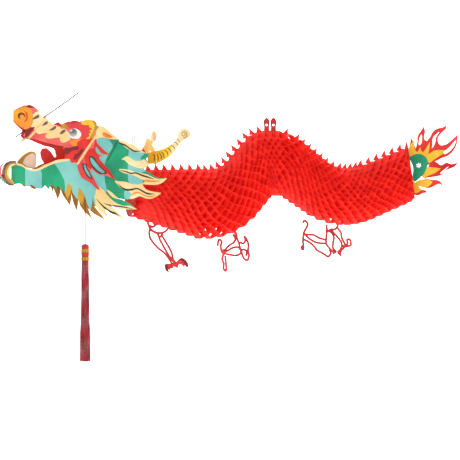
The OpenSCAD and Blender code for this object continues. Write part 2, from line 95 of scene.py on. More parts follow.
def scaled(colour, k):
    return tuple(min(1, c * k) for c in colour)


def new_object(name, mesh):
    obj = bpy.data.objects.new(name, mesh)
    bpy.context.collection.objects.link(obj)
    return obj


def mesh_object(name, points, faces, materials, picks=None, smooth=True):
    """An object from points in millimetres, with one material pick for each face."""
    mesh = bpy.data.meshes.new(name)
    mesh.from_pydata([tuple(c * MM for c in p) for p in points], [], faces)
    for m in materials:
        mesh.materials.append(m)
    for i, face in enumerate(mesh.polygons):
        face.use_smooth = smooth
        if picks:
            face.material_index = picks[i]
    mesh.update()
    return new_object(name, mesh)


def smooth_line(points, closed=True, steps=3):
    """A rounded line through the points. A point with a third value is a sharp corner."""
    n = len(points)
    out = []
    for i in range(n if closed else n - 1):
        p1, p2 = points[i], points[(i + 1) % n]
        p0 = points[(i - 1) % n] if closed or i > 0 else p1
        p3 = points[(i + 2) % n] if closed or i + 2 < n else p2
        if len(p1) > 2:
            p0 = p1
        if len(p2) > 2:
            p3 = p2
        for k in range(steps):
            t = k / steps
            out.append(tuple(
                0.5 * (2 * p1[c] + (p2[c] - p0[c]) * t
                       + (2 * p0[c] - 5 * p1[c] + 4 * p2[c] - p3[c]) * t * t
                       + (3 * p1[c] - p0[c] - 3 * p2[c] + p3[c]) * t ** 3) for c in (0, 1)))
    if not closed:
        out.append(tuple(points[-1][:2]))
    return out


def ribbon(points, width, taper=0.0):
    """A closed outline of a stroke along a line."""
    line = [Vector(p[:2]) for p in points]
    left, right = [], []
    for i, p in enumerate(line):
        d = line[min(i + 1, len(line) - 1)] - line[max(i - 1, 0)]
        if d.length < 1e-6:
            continue
        d.normalize()
        w = width / 2 * (1 - taper * i / (len(line) - 1))
        side = Vector((-d.y, d.x)) * w
        left.append(tuple(p + side))
        right.append(tuple(p - side))
    return left + right[::-1]


# ---- Materials ----
def material(name, colour, roughness=0.6, mottle=0.12, grain=90, bump=0.15, through=0.0,
             second=None, second_scale=18, metal=0.0, stretch=(1, 1, 1), sheen=0.0, glow=0.0):
    """Paper, card, silk or foil: mottled colour, a fine bump, and light through it if thin."""
    mat = bpy.data.materials.new(name)
    mat.use_nodes = True
    nodes, links = mat.node_tree.nodes, mat.node_tree.links
    nodes.clear()
    out = nodes.new("ShaderNodeOutputMaterial")
    coords = nodes.new("ShaderNodeTexCoord")
    mapping = nodes.new("ShaderNodeMapping")
    mapping.inputs["Scale"].default_value = stretch
    links.new(coords.outputs["Object"], mapping.inputs["Vector"])
    tone = nodes.new("ShaderNodeTexNoise")
    tone.inputs["Scale"].default_value = second_scale
    tone.inputs["Detail"].default_value = 5
    links.new(mapping.outputs["Vector"], tone.inputs["Vector"])
    ramp = nodes.new("ShaderNodeValToRGB")
    ramp.color_ramp.elements[0].position = 0.36
    ramp.color_ramp.elements[1].position = 0.64
    ramp.color_ramp.elements[0].color = (*scaled(second or colour, 1 - mottle), 1)
    ramp.color_ramp.elements[1].color = (*scaled(colour, 1 + mottle * 0.5), 1)
    links.new(tone.outputs["Fac"], ramp.inputs["Fac"])
    fibre = nodes.new("ShaderNodeTexNoise")
    fibre.inputs["Scale"].default_value = grain * 10
    fibre.inputs["Detail"].default_value = 4
    links.new(mapping.outputs["Vector"], fibre.inputs["Vector"])
    dent = nodes.new("ShaderNodeBump")
    dent.inputs["Strength"].default_value = bump
    dent.inputs["Distance"].default_value = 0.0006
    links.new(fibre.outputs["Fac"], dent.inputs["Height"])
    shader = nodes.new("ShaderNodeBsdfPrincipled")
    shader.inputs["Roughness"].default_value = roughness
    shader.inputs["Metallic"].default_value = metal
    shader.inputs["Sheen Weight"].default_value = sheen
    links.new(ramp.outputs["Color"], shader.inputs["Base Color"])
    links.new(dent.outputs["Normal"], shader.inputs["Normal"])
    # glow makes the surface give off its own colour as light: painted light on the tissue and the horn
    # bridge, an even backdrop brightness on the white sweep.
    if glow:
        links.new(ramp.outputs["Color"], shader.inputs["Emission Color"])
        shader.inputs["Emission Strength"].default_value = glow
    if through:
        thin = nodes.new("ShaderNodeBsdfTranslucent")
        mix = nodes.new("ShaderNodeMixShader")
        mix.inputs["Fac"].default_value = through
        links.new(ramp.outputs["Color"], thin.inputs["Color"])
        links.new(shader.outputs["BSDF"], mix.inputs[1])
        links.new(thin.outputs["BSDF"], mix.inputs[2])
        links.new(mix.outputs["Shader"], out.inputs["Surface"])
    else:
        links.new(shader.outputs["BSDF"], out.inputs["Surface"])
    return mat


# The tissue's glow is painted light: it lifts the shade between the honeycomb cells.
TISSUE = material("red_tissue", rgb(255, 58, 44), 0.75, 0.16, through=0.42, second=rgb(252, 36, 30),
                  second_scale=60, bump=0.3, glow=0.12)
TISSUE_EDGE = material("tissue_edge", rgb(120, 10, 20), 0.8, 0.2)
CARD_BACK = material("card_back", rgb(188, 134, 20), 0.7, 0.15, second=rgb(160, 108, 10))
INK = {
    "pink": material("ink_pink", rgb(244, 104, 96), 0.45, 0.08, second=rgb(236, 84, 80), second_scale=30),
    "pink_deep": material("ink_pink_deep", rgb(222, 60, 60), 0.45, 0.1),
    "red": material("ink_red", rgb(232, 44, 32), 0.45, 0.1, second=rgb(206, 22, 22)),
    "red_dark": material("ink_red_dark", rgb(128, 16, 20), 0.5, 0.12),
    "orange": material("ink_orange", rgb(244, 150, 40), 0.45, 0.1, second=rgb(236, 120, 30)),
    "nose": material("ink_nose", rgb(240, 168, 30), 0.4, 0.08, second=rgb(226, 130, 16), second_scale=12),
    "yellow": material("ink_yellow", rgb(250, 206, 50), 0.45, 0.06, second=rgb(246, 178, 30)),
    "gold": material("ink_gold", rgb(206, 156, 36), 0.45, 0.12, second=rgb(170, 118, 20)),
    "cream": material("ink_cream", rgb(252, 226, 170), 0.45, 0.05, second=rgb(248, 204, 130)),
    "teal": material("ink_teal", rgb(132, 200, 190), 0.45, 0.06, second=rgb(112, 190, 186)),
    "green": material("ink_green", rgb(16, 166, 116), 0.45, 0.1, second=rgb(4, 140, 100)),
    "green_dark": material("ink_green_dark", rgb(10, 96, 70), 0.5, 0.12),
    "grey": material("ink_grey", rgb(116, 84, 84), 0.5, 0.12),
    "black": material("ink_black", rgb(34, 22, 22), 0.5, 0.1),
    "pale": material("ink_pale", rgb(244, 226, 206), 0.4, 0.05, second=rgb(236, 206, 186), through=0.35),
    "white": material("ink_white", rgb(244, 240, 232), 0.45, 0.03),
}
HOLE = "hole"


def ccw(outline):
    area = sum(a[0] * b[1] - b[0] * a[1] for a, b in zip(outline, outline[1:] + outline[:1]))
    return outline if area > 0 else outline[::-1]


def inside(p, outline):
    hit = False
    for a, b in zip(outline, outline[1:] + outline[:1]):
        if (a[1] > p[1]) != (b[1] > p[1]) and p[0] < (b[0] - a[0]) * (p[1] - a[1]) / (b[1] - a[1]) + a[0]:
            hit = not hit
    return hit


def paint(layers, grid=0.0, clip=True):
    """Cuts stacked shapes into triangles: each shape covers the ones before it.

    layers are (outline, ink). With clip on, the first shape is the sheet, and nothing shows
    outside it. A HOLE cuts through. grid adds inner points, so that the sheet can bend.
    """
    points, loops, inks = [], [], []
    for outline, ink in layers:
        outline = ccw(outline)
        loops.append(list(range(len(points), len(points) + len(outline))))
        points += [Vector(p) for p in outline]
        inks.append(ink)
    if grid:
        sheet = layers[0][0]
        xs, ys = [p[0] for p in sheet], [p[1] for p in sheet]
        for i in range(int((max(xs) - min(xs)) / grid)):
            for j in range(int((max(ys) - min(ys)) / grid)):
                p = (min(xs) + (i + 0.5 + 0.4 * (j % 2)) * grid, min(ys) + (j + 0.5) * grid)
                if inside(p, sheet):
                    points.append(Vector(p))
    co, _, faces, _, _, owners = geometry.delaunay_2d_cdt(points, [], loops, 1, 0.01, True)
    kept, picks = [], []
    for face, owner in zip(faces, owners):
        if not owner or (clip and 0 not in owner):
            continue
        ink = inks[max(owner)]
        if ink != HOLE:
            kept.append(tuple(face))
            picks.append(ink)
    return [tuple(p) for p in co], kept, picks


def painted_sheet(name, layers, place, thickness, back, grid=0.0, clip=True, sides=1):
    """A cut and printed sheet, mapped by place(x, y, side), with a plain back."""
    co, faces, picks = paint(layers, grid, clip)
    inks = sorted(set(picks))
    points, all_faces, all_picks = [], [], []
    for side in range(sides):
        start = len(points)
        points += [place(p[0], p[1], side) for p in co]
        for face, pick in zip(faces, picks):
            turned = face[::-1] if side else face
            all_faces.append(tuple(start + i for i in turned))
            all_picks.append(inks.index(pick))
    obj = mesh_object(name, points, all_faces, [INK[i] for i in inks] + [back] * len(inks), all_picks,
                      smooth=False)
    if sides > 1:
        work = bmesh.new()
        work.from_mesh(obj.data)
        bmesh.ops.remove_doubles(work, verts=work.verts, dist=0.05 * MM)
        work.to_mesh(obj.data)
        work.free()
    solid = obj.modifiers.new("thickness", "SOLIDIFY")
    solid.thickness = thickness * MM
    solid.offset = 0
    solid.material_offset = len(inks)
    solid.material_offset_rim = len(inks)
    return obj


# ---- Stations along the body, as in the CAD source: x, z, slope, distance, direction ----
def advance(at, run, turn, share=1.0):
    x, z, a, s, d = at
    if turn == 0:
        step = d * run * share
        return (x + step * math.cos(math.radians(a)), z + step * math.sin(math.radians(a)), a,
                s + run * share, d)
    r = run / math.radians(turn)
    b = a + turn * share
    return (x + d * r * (math.sin(math.radians(b)) - math.sin(math.radians(a))),
            z + d * r * (math.cos(math.radians(a)) - math.cos(math.radians(b))), b, s + run * share, d)


# node, leaf at its far end, run, turn, pitches, the body it ends on
FRONT = [
    ("crest_front_honeycomb", "crest_front_leaf", 28, 50, 3, "crest_front"),
    ("rise_honeycomb", "rise_leaf", 56, 0, 3, "rise"),
    ("belly_honeycomb", "front_right_leaf", 44, -25, 2, "front_right"),
    ("front_trough_honeycomb", "front_trough_leaf", 60, -34, 3, "front_trough"),
    ("shoulder_honeycomb", "front_left_leaf", 75, 0, 4, "front_left"),
    ("neck_honeycomb", None, 72, 0, 4, "neck"),
]
REAR = [
    ("crest_rear_honeycomb", "crest_rear_leaf", 38, -37, 2, "crest_rear"),
    ("fall_honeycomb", "fall_leaf", 65, 0, 4, "fall"),
    ("hind_honeycomb", "hind_leaf", 59, 30, 3, "hind"),
    ("rear_trough_honeycomb", "rear_trough_leaf", 59, 30, 4, "rear_trough"),
    ("tail_honeycomb", None, 112, 0, 6, "tail_end"),
]
FRONT_LENGTH = sum(s[2] for s in FRONT)
TROUGH_LENGTH = sum(s[2] for s in FRONT[:4])
REAR_LENGTH = sum(s[2] for s in REAR)


def leaf_r(at):
    if at[4] > 0:
        return CREST_R + (TAIL_R - CREST_R) * math.sqrt(at[3] / REAR_LENGTH)
    if at[3] < TROUGH_LENGTH:
        return CREST_R + (TROUGH_R - CREST_R) * at[3] / TROUGH_LENGTH
    return TROUGH_R + (NECK_R - TROUGH_R) * (at[3] - TROUGH_LENGTH) / (FRONT_LENGTH - TROUGH_LENGTH)


def at_station(at, p, yaw=0.0):
    """A point of a station's own frame, in the row frame, all in millimetres."""
    a = math.radians(LEAF_LEAN * at[2])
    x, y, z = p[0] * math.cos(a) - p[2] * math.sin(a), p[1], p[0] * math.sin(a) + p[2] * math.cos(a)
    t = math.radians(yaw)
    return (at[0] + x * math.cos(t) - y * math.sin(t), x * math.sin(t) + y * math.cos(t), at[1] + z)


# ---- Honeycomb: sheets glued in turn to the sheet before and the sheet behind ----
CELLS = 7               # cells down a sheet
ROWS_PER_CELL = 8
COLUMNS = 10
FLARE = 24              # how far a sheet's edges sweep back towards the tail
GLUE_SHARE = 0.22       # share of a cell's height that is glued flat
THORN_H, THORN_W = 13.5, 14


def flare_share(at):
    """The sweep fades out at the tail end card, where the tissue is glued flat."""
    if at[4] < 0:
        return 1
    return min(1, max(0, (REAR_LENGTH - at[3]) / FLARE))


def sheet_point(at, yaw, q, c):
    """A point of the leaf at a station: q runs from its top to its bottom, c across it."""
    r = leaf_r(at)
    h = r * (1 - 2 * q)
    half = LEAF_ASPECT * r * math.sqrt(max(0.0, 1 - (1 - 2 * q) ** 2))
    y = c * half
    sweep = FLARE * flare_share(at) * c * c * (0.5 + 0.5 * half / (LEAF_ASPECT * r))
    return at_station(at, (sweep, y, h), yaw)


def glue_wave(q, wobble, top_glued):
    phase = (q * CELLS + wobble) % 1
    t = abs(2 * phase - 1)
    t = min(1, max(0, (t - 0.5) / (1 - GLUE_SHARE) + 0.5))
    return 0.02 + 0.96 * (t if top_glued else 1 - t)


def add_sheet(points, faces, a, b, yaw_a, yaw_b, b_glued):
    """One tissue sheet between two stations. b_glued says that its top is glued at b."""
    rows = CELLS * ROWS_PER_CELL
    start = len(points)
    for j in range(rows + 1):
        q = j / rows
        for i in range(COLUMNS + 1):
            c = 2 * i / COLUMNS - 1
            pa, pb = Vector(sheet_point(a, yaw_a, q, c)), Vector(sheet_point(b, yaw_b, q, c))
            where = Vector((a[3] * a[4] / 45, c * 1.3, q * 5))
            wobble = 0.34 * noise.noise(where) * min(1, 6 * q, 6 * (1 - q))
            w = glue_wave(q, wobble, b_glued)
            p = pa.lerp(pb, w)
            crumple = noise.noise(p * 0.13) * 1.8 * (1 - abs(2 * w - 1))
            points.append(tuple(p + (pb - pa).normalized() * crumple))
    n = COLUMNS + 1
    for j in range(rows):
        for i in range(COLUMNS):
            k = start + j * n + i
            faces.append((k, k + 1, k + n + 1, k + n))


def add_thorn(points, faces, picks, at, yaw, height=THORN_H, width=THORN_W):
    """A small hook that stands along the body on a leaf's top, darker along its edge."""
    r = leaf_r(at)
    d = at[4]
    profile = []
    for i in range(9):
        t = i / 8
        half = width / 2 * (1 - t) ** 1.15
        bend = 6 * d * t ** 2
        profile.append((bend - half, bend + half, r - 3 + t * (height + 3)))
    start = len(points)
    edge = 1.5
    for x0, x1, h in profile:
        inner0, inner1 = min(x0 + edge, (x0 + x1) / 2), max(x1 - edge, (x0 + x1) / 2)
        points += [at_station(at, (x, 0, h), yaw) for x in (x0, inner0, inner1, x1)]
    for i in range(8):
        for k in range(3):
            j = start + 4 * i + k
            faces.append((j, j + 1, j + 5, j + 4))
            picks.append(1 if k != 1 else 0)


def add_seams(points, faces, at, yaw):
    """The glued strips of the pair of sheets that meets at a station."""
    for cell in range(CELLS + 1):
        low, high = max(0, cell - GLUE_SHARE / 2) / CELLS, min(CELLS, cell + GLUE_SHARE / 2) / CELLS
        start = len(points)
        for q in (low, high):
            points += [sheet_point(at, yaw, q, 2 * i / COLUMNS - 1) for i in range(COLUMNS + 1)]
        for i in range(COLUMNS):
            k, n = start + i, COLUMNS + 1
            faces.append((k, k + 1, k + n + 1, k + n))


def honeycomb(name, at, run, turn, count, yaw=0.0):
    points, faces = [], []
    for k in range(2 * count):
        a, b = advance(at, run, turn, k / 2 / count), advance(at, run, turn, (k + 1) / 2 / count)
        add_sheet(points, faces, a, b, yaw * k / 2 / count, yaw * (k + 1) / 2 / count, k % 2 == 1)
    picks = [0] * len(faces)
    for i in range(1, count):
        add_thorn(points, faces, picks, advance(at, run, turn, i / count), yaw * i / count)
    return mesh_object(name, points, faces, [TISSUE, TISSUE_EDGE], picks)


def run_of_body(at, parent, runs):
    stations = {}
    for node, leaf, run, turn, count, body in runs:
        far = advance(at, run, turn)
        yaw = HEAD_YAW if body == "neck" else 0
        obj = honeycomb(node.replace("_honeycomb", "_tissue"), at, run, turn, count, yaw)
        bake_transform(obj)
        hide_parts(node)
        if leaf:
            points, faces = [], []
            add_seams(points, faces, far, 0)
            picks = [0] * len(faces)
            add_thorn(points, faces, picks, far, 0)
            seam = mesh_object(leaf.replace("_leaf", "_seam"), points, faces, [TISSUE, TISSUE_EDGE], picks)
            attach(seam, body)
            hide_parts(leaf)
        stations[body] = far
        at, parent = far, body
    return stations


CREST_FRONT = (0, CREST_Z, 0, 0, -1)
CREST_REAR = (CREST_GAP, CREST_Z, 0, 0, 1)
STATIONS = run_of_body(CREST_FRONT, "crest", FRONT)
STATIONS.update(run_of_body(CREST_REAR, "crest", REAR))


def crest():
    """The short run between the two crest leaves, and their tall tabs with the thread holes."""
    points, faces = [], []
    middle = (CREST_GAP / 2, CREST_Z, 0, 0, 1)
    add_sheet(points, faces, CREST_FRONT, middle, 0, 0, False)
    add_sheet(points, faces, middle, CREST_REAR, 0, 0, True)
    for at in (CREST_FRONT, CREST_REAR):
        add_seams(points, faces, at, 0)
    tissue = mesh_object("crest_tissue", points, faces, [TISSUE])
    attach(tissue, "crest")
    half, root = 6, 5
    tab = [(-half, CREST_R - root, 1), (half, CREST_R - root, 1), (5.4, CREST_R + 8), (6.4, CREST_R + 16),
           (5.6, CREST_R + 23), (0, CREST_R + 28), (-5.6, CREST_R + 23), (-6.4, CREST_R + 16),
           (-5.4, CREST_R + 8)]
    hole = [(THREAD_HOLE_R * math.cos(k * math.pi / 8), THREAD_HOLE_R * math.sin(k * math.pi / 8) - CREST_Z)
            for k in range(16)]
    inner = [(x * 0.68, CREST_R - root + (z - CREST_R + root) * 0.95) for x, z, *_ in tab]
    layers = [(smooth_line(tab), "red_dark"), (smooth_line(inner), "red"), (hole, HOLE)]
    for name, at in (("crest_tab_front", CREST_FRONT), ("crest_tab_rear", CREST_REAR)):
        obj = painted_sheet(name, layers, lambda x, z, side, at=at: at_station(at, (x, 0, z)), 0.4,
                            INK["red"])
        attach(obj, "crest")
    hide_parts("crest_leaves", "crest_tabs")


crest()


# ---- Head ----
SPLAY = math.atan(HEAD_HALF_W / HEAD_LEN)
NECK = STATIONS["neck"]


def in_head(p):
    t = math.radians(HEAD_YAW)
    return (NECK[0] + p[0] * math.cos(t) - p[1] * math.sin(t),
            p[0] * math.sin(t) + p[1] * math.cos(t), NECK[1] + HEAD_LIFT + p[2])


def card_half(gap, setback, curl=0.0, lift=0.0):
    """How a point of a folded card's half lies in the head: round the nose, then flat."""
    r = setback * math.sin(SPLAY) + gap + CARD_T / 2
    tangent = setback * math.cos(SPLAY)
    front = tangent - r * (math.pi / 2 - SPLAY)

    def place(s, z, side):
        s = max(s, front)
        if s >= tangent:
            g = gap + CARD_T / 2 + lift + 1.6 * math.sin(math.pi * min(1, s / 300))
            g += curl * max(0, (s - 235) / 100) ** 2 + 0.5 * noise.noise(Vector((s, z, 9)) * 0.03)
            x = -HEAD_LEN + s * math.cos(SPLAY) - g * math.sin(SPLAY)
            y = -(s * math.sin(SPLAY) + g * math.cos(SPLAY))
        else:
            a = SPLAY + (tangent - s) / r
            x, y = setback - HEAD_LEN - r * math.sin(a), -r * math.cos(a)
        return in_head((x, -y if side else y, z))
    return place


FACE = {
    "outline": [(-12, 160, 1), (-12, 172, 1), (9, 178), (18, 182), (25, 185), (36, 189), (43,
     189), (51, 185), (58, 179), (65, 170), (70, 162), (74, 160, 1), (80, 158), (86, 152), (91,
     147, 1), (102, 145), (109, 140, 1), (110, 146), (113, 149, 1), (126, 154), (131, 150), (142,
     150), (151, 154), (158, 156), (169, 158), (180, 156), (187, 150, 1), (188, 144), (200, 143),
     (213, 133), (226, 122), (235, 114, 1), (217, 115), (200, 119), (186, 115, 1), (187, 107),
     (191, 102), (200, 93), (208, 86), (215, 81, 1), (202, 82), (195, 86), (190, 93), (186, 99,
     1), (184, 95), (186, 86), (193, 80), (202, 78, 1), (191, 75), (202, 60), (213, 49), (219,
     40), (228, 27), (234, 23, 1), (219, 31), (206, 36), (197, 37), (186, 42), (175, 52, 1), (173,
     42), (180, 31), (186, 18), (194, 4, 1), (186, 7), (175, 18), (164, 25), (155, 30), (149, 40),
     (145, 53), (144, 61), (140, 64), (133, 63, 1), (129, 68), (126, 72), (116, 73), (120, 80),
     (118, 84), (117, 91), (113, 96, 1), (102, 99, 1), (89, 101), (80, 104), (67, 108), (54, 113,
     1), (47, 115), (36, 116), (31, 118, 1), (27, 123), (30, 129), (30, 135), (23, 140), (14,
     147), (6, 153)],
    "open1": [(172, 74), (177, 74), (186, 63), (195, 52), (206, 42), (197, 41), (184, 51), (175,
     62)],
    "open2": [(158, 60, 1), (162, 59), (165, 50), (172, 38), (175, 30, 1), (169, 34), (162, 44),
     (159, 53)],
    "nose": [(-12, 185, 1), (30, 185), (41, 181), (47, 170), (48, 157), (41, 144), (25, 137),
     (-12, 137, 1)],
    "nose_deep": [(-12, 157, 1), (19, 157), (36, 152), (45, 159), (48, 152), (41, 141), (25, 135),
     (-12, 135, 1)],
    "tip_patch": [(30, 190, 1), (43, 192, 1), (54, 185), (45, 183), (36, 184)],
    "nostril": [(16, 170), (23, 173), (30, 169), (31, 162), (27, 167), (22, 168), (19, 163), (21,
     158), (16, 161), (15, 166)],
    "ring": [(27, 177), (35, 172), (37, 163), (34, 155), (27, 151), (32, 158), (33, 165), (31,
     172)],
    "under_nose": [(14, 145), (30, 129), (30, 118), (38, 122), (45, 132), (52, 141), (43, 140),
     (30, 136)],
    "snout_cream": [(48, 168), (61, 176), (69, 163), (80, 159), (91, 148), (109, 140), (118, 137),
     (125, 128), (129, 115), (122, 110), (113, 107), (107, 112), (106, 118), (98, 118), (87, 116),
     (78, 117), (75, 122), (79, 127), (74, 128), (67, 127), (61, 126), (55, 129), (52, 135), (43,
     144), (48, 157)],
    "lip": [(30, 119, 1), (38, 117), (50, 115), (63, 111), (76, 107), (89, 104), (102, 101), (115,
     99, 1), (113, 94, 1), (102, 97, 1), (89, 99), (80, 102), (67, 106), (54, 111, 1), (47, 113),
     (36, 113), (30, 115, 1)],
    "wrinkle1": [(46, 158), (54, 166), (61, 168), (61, 162), (52, 158)],
    "wrinkle2": [(65, 144), (72, 151), (79, 154), (80, 149), (74, 145)],
    "wrinkle3": [(83, 134), (89, 139), (97, 144), (98, 139), (91, 134)],
    "wrinkle4": [(106, 126), (111, 134), (117, 136), (119, 133), (113, 127)],
    "under_eye": [(129, 111), (140, 114), (155, 116), (147, 108), (142, 100), (133, 102), (128,
     107)],
    "cheek": [(155, 116), (164, 117), (173, 119), (180, 117), (169, 100), (158, 82), (147, 64),
     (140, 62), (133, 61), (129, 68), (126, 72), (116, 73), (118, 82), (117, 91), (127, 97), (138,
     97), (144, 100), (144, 107)],
    "spot1": [(116, 96), (127, 96), (144, 100), (147, 93), (133, 90), (127, 84), (119, 82)],
    "spot2": [(138, 80), (147, 86), (155, 95), (158, 91), (151, 80), (142, 71), (136, 70)],
    "ball": [(144, 150), (151, 154), (169, 158), (180, 156), (191, 152, 1), (190, 141), (184,
     133), (180, 124), (176, 117), (164, 116), (155, 128), (151, 141)],
    "ball_shade": [(177, 157), (191, 155, 1), (191, 141), (184, 133), (180, 124), (176, 117),
     (171, 117), (177, 130), (182, 144)],
    "wedge": [(188, 144), (200, 145), (215, 135), (239, 113, 1), (217, 113), (200, 117), (184,
     115), (186, 133)],
    "wedge_spot": [(200, 130), (211, 127), (222, 119), (211, 118), (201, 122)],
    "brow": [(113, 141), (125, 140), (133, 139), (147, 136), (153, 129), (153, 122), (149, 116),
     (155, 116), (164, 117), (171, 122), (169, 127, 1), (174, 129), (170, 134, 1), (177, 136),
     (173, 140, 1), (169, 143), (171, 146, 1), (160, 146), (153, 148), (151, 154), (142, 152),
     (131, 152), (126, 157), (120, 156), (116, 148)],
    "brow_tip": [(107, 146), (113, 152), (120, 146), (125, 141), (116, 138), (109, 138)],
    "eye_white": [(125, 128), (130, 135), (138, 138), (147, 135), (152, 128), (152, 122), (147,
     116), (138, 116), (130, 118)],
    "back_red": [(184, 117), (187, 107), (191, 102), (200, 93), (217, 80, 1), (202, 79), (195,
     86), (190, 93), (180, 89)],
    "flame_red": [(164, 89), (180, 95), (186, 86), (193, 80), (204, 75), (202, 60), (213, 49),
     (219, 40), (228, 27), (237, 20, 1), (219, 29), (206, 34), (197, 35), (186, 40), (169, 53),
     (160, 71)],
    "flame_edge": [(184, 69), (197, 53), (211, 40), (226, 25, 1), (211, 34), (195, 37), (208, 42),
     (195, 52), (186, 63)],
    "pink_tail": [(155, 71), (160, 62), (166, 49), (173, 40), (180, 31), (186, 18), (197, 1, 1),
     (186, 5), (175, 16), (164, 23), (153, 28), (147, 40), (142, 53), (144, 64)],
    "line_open1": [(170, 77), (180, 76), (188, 64), (197, 53), (209, 41), (197, 39), (182, 49),
     (173, 62)],
    "line_open2": [(155, 62, 1), (164, 61), (167, 51), (174, 38), (177, 28, 1), (168, 31), (160,
     43), (156, 53)],
    "cream_edge1": [(30, 108), (76, 160), (79, 158), (33, 108)],
    "cream_edge2": [(183, 123), (186, 121), (149, 63), (145, 65)],
}
JAW = {
    "outline": [(-12, 58, 1), (-12, 18, 1), (10, 17), (19, 19), (27, 17), (36, 11), (45, 15), (54,
     9), (58, 7, 1), (67, 7), (74, 14, 1), (80, 8), (83, 7, 1), (87, 17, 1), (96, 9), (98, 2, 1),
     (100, 12), (102, 14, 1), (107, 8), (111, -2, 1), (112, 9, 1), (116, 1), (123, -16, 1), (129,
     -4), (130, 7, 1), (138, -8), (147, -19), (155, -29, 1), (159, -13), (158, 1, 1), (164, -21),
     (173, -41, 1), (177, -24), (177, -10, 1), (182, -28), (193, -42), (206, -52), (216, -60, 1),
     (208, -46), (203, -35, 1), (217, -46), (233, -54), (248, -61, 1), (239, -50), (228, -39),
     (218, -29, 1), (235, -37), (250, -38), (275, -38, 1), (259, -26), (244, -18), (231, -14, 1),
     (252, -16), (266, -15, 1), (281, -10), (294, -14), (305, -15), (319, -9), (327, -2, 1), (303,
     2), (292, 8), (286, 17, 1), (312, 15), (325, 18), (336, 25), (340, 31, 1), (323, 30), (308,
     38), (294, 46), (290, 52, 1), (301, 60), (294, 72, 1), (301, 82), (286, 89), (268, 102),
     (255, 107), (244, 112), (234, 113), (217, 114), (206, 118), (193, 119), (184, 116, 1), (127,
     72, 1), (102, 70), (87, 64), (72, 58), (61, 52), (50, 49), (36, 52), (23, 60), (8, 63)],
    "teal": [(31, 71, 1), (67, 71, 1), (67, 1, 1), (31, 1, 1)],
    "green2": [(65, 49), (80, 57), (94, 63, 1), (116, 25), (116, 1, 1), (85, 1, 1), (76, 18)],
    "teal2": [(94, 63, 1), (127, 75, 1), (184, 117, 1), (204, 117), (211, 71), (204, 31), (208,
     1), (191, -17), (173, -43, 1), (116, -17, 1), (116, 25)],
    "lip": [(-12, 69, 1), (8, 64), (23, 61), (36, 53), (50, 50), (61, 53), (72, 59), (87, 66),
     (102, 71), (127, 74, 1), (127, 69), (102, 64), (87, 59), (72, 52), (61, 47), (50, 45), (36,
     48), (23, 56), (8, 59), (-12, 62, 1)],
    "gold1": [(123, 18, 1), (131, 14), (134, 1), (130, -13), (123, -19, 1), (116, -6, 1), (120,
     5)],
    "gold2": [(147, 9, 1), (154, 3), (160, -13), (159, -30, 1), (151, -26), (145, -13)],
    "teal3": [(184, 118), (197, 121), (211, 117), (215, 111), (222, 100), (213, 84), (209, 82),
     (200, 93), (188, 104)],
    "green3": [(213, 113), (233, 112), (248, 101), (259, 94), (259, 80), (257, 60), (257, 27),
     (252, 5), (250, -10), (233, -9), (219, 1), (208, 14), (204, 31), (204, 60), (208, 73), (217,
     93)],
    "teal4": [(259, 95), (272, 91), (290, 84), (283, 71), (292, 53), (292, 45), (283, 40), (288,
     24), (283, 16), (263, 14), (255, 27), (255, 71)],
    "teal5": [(248, 3), (263, -4), (261, -15), (248, -15)],
    "teal6": [(186, 9), (200, 5), (211, -8), (222, -19), (235, -27), (252, -32), (263, -30, 1),
     (248, -63, 1), (211, -63, 1), (186, -43)],
    "green4": [(286, 79), (292, 80), (303, 75), (292, 71), (283, 73)],
    "f_top": [(235, 111), (244, 113), (255, 108), (268, 102), (286, 89), (301, 82, 1), (286, 86),
     (272, 87), (259, 91), (246, 100)],
    "f1": [(241, 71), (252, 78), (259, 75), (270, 68), (283, 68), (290, 71), (303, 60, 1), (292,
     52), (279, 52), (266, 56), (255, 62), (248, 69)],
    "f2": [(235, 49), (246, 50), (259, 47), (270, 44), (283, 41), (297, 38), (312, 31), (325, 28),
     (343, 31, 1), (332, 18), (312, 14), (297, 15), (286, 17), (292, 24), (281, 29), (270, 35),
     (257, 39), (244, 42)],
    "f3": [(226, 24), (237, 23), (250, 22), (261, 18), (275, 16), (286, 18), (292, 9), (305, 3),
     (330, -2, 1), (316, -11), (303, -16), (292, -14), (279, -9), (266, -17), (259, -13), (263,
     -5), (255, 2), (244, 6), (235, 13)],
    "f4": [(208, 5), (217, 1), (228, -9), (237, -16, 1), (224, -13), (215, -6)],
    "f5": [(191, -17), (204, -24), (217, -28), (230, -29), (246, -31), (259, -30), (277, -39, 1),
     (257, -39), (237, -38), (222, -31), (204, -29)],
    "f6": [(184, -6), (195, -21), (208, -32), (222, -38), (237, -43), (250, -63, 1), (235, -59),
     (219, -51), (204, -40), (191, -26), (182, -13)],
    "l_top": [(235, 106), (250, 99), (261, 91), (272, 87), (288, 90, 1), (272, 90), (261, 95),
     (250, 103), (237, 108)],
    "l2a": [(237, 47), (250, 43), (261, 39), (272, 40), (286, 34), (301, 30), (315, 26, 1), (301,
     33), (286, 38), (272, 43), (261, 42), (250, 46)],
    "l2b": [(292, 23), (305, 22), (319, 22), (328, 25, 1), (319, 25), (305, 25), (294, 27)],
    "l3a": [(231, 20), (239, 10), (250, 3), (263, 3), (275, 6), (286, 0), (299, -6), (315, -4, 1),
     (299, -2), (286, 4), (275, 9), (263, 7), (250, 7), (239, 13)],
    "l3b": [(259, -9), (268, -5), (279, -3), (290, -9), (303, -12), (317, -7, 1), (303, -9), (290,
     -6), (279, 0), (268, -1)],
    "l5": [(200, -24), (217, -31), (235, -33), (257, -36), (268, -37, 1), (252, -33), (235, -30),
     (217, -28)],
    "l6": [(184, -13), (193, -25), (204, -37), (217, -46), (228, -49), (238, -54, 1), (228, -45),
     (217, -41), (204, -32), (193, -22)],
}
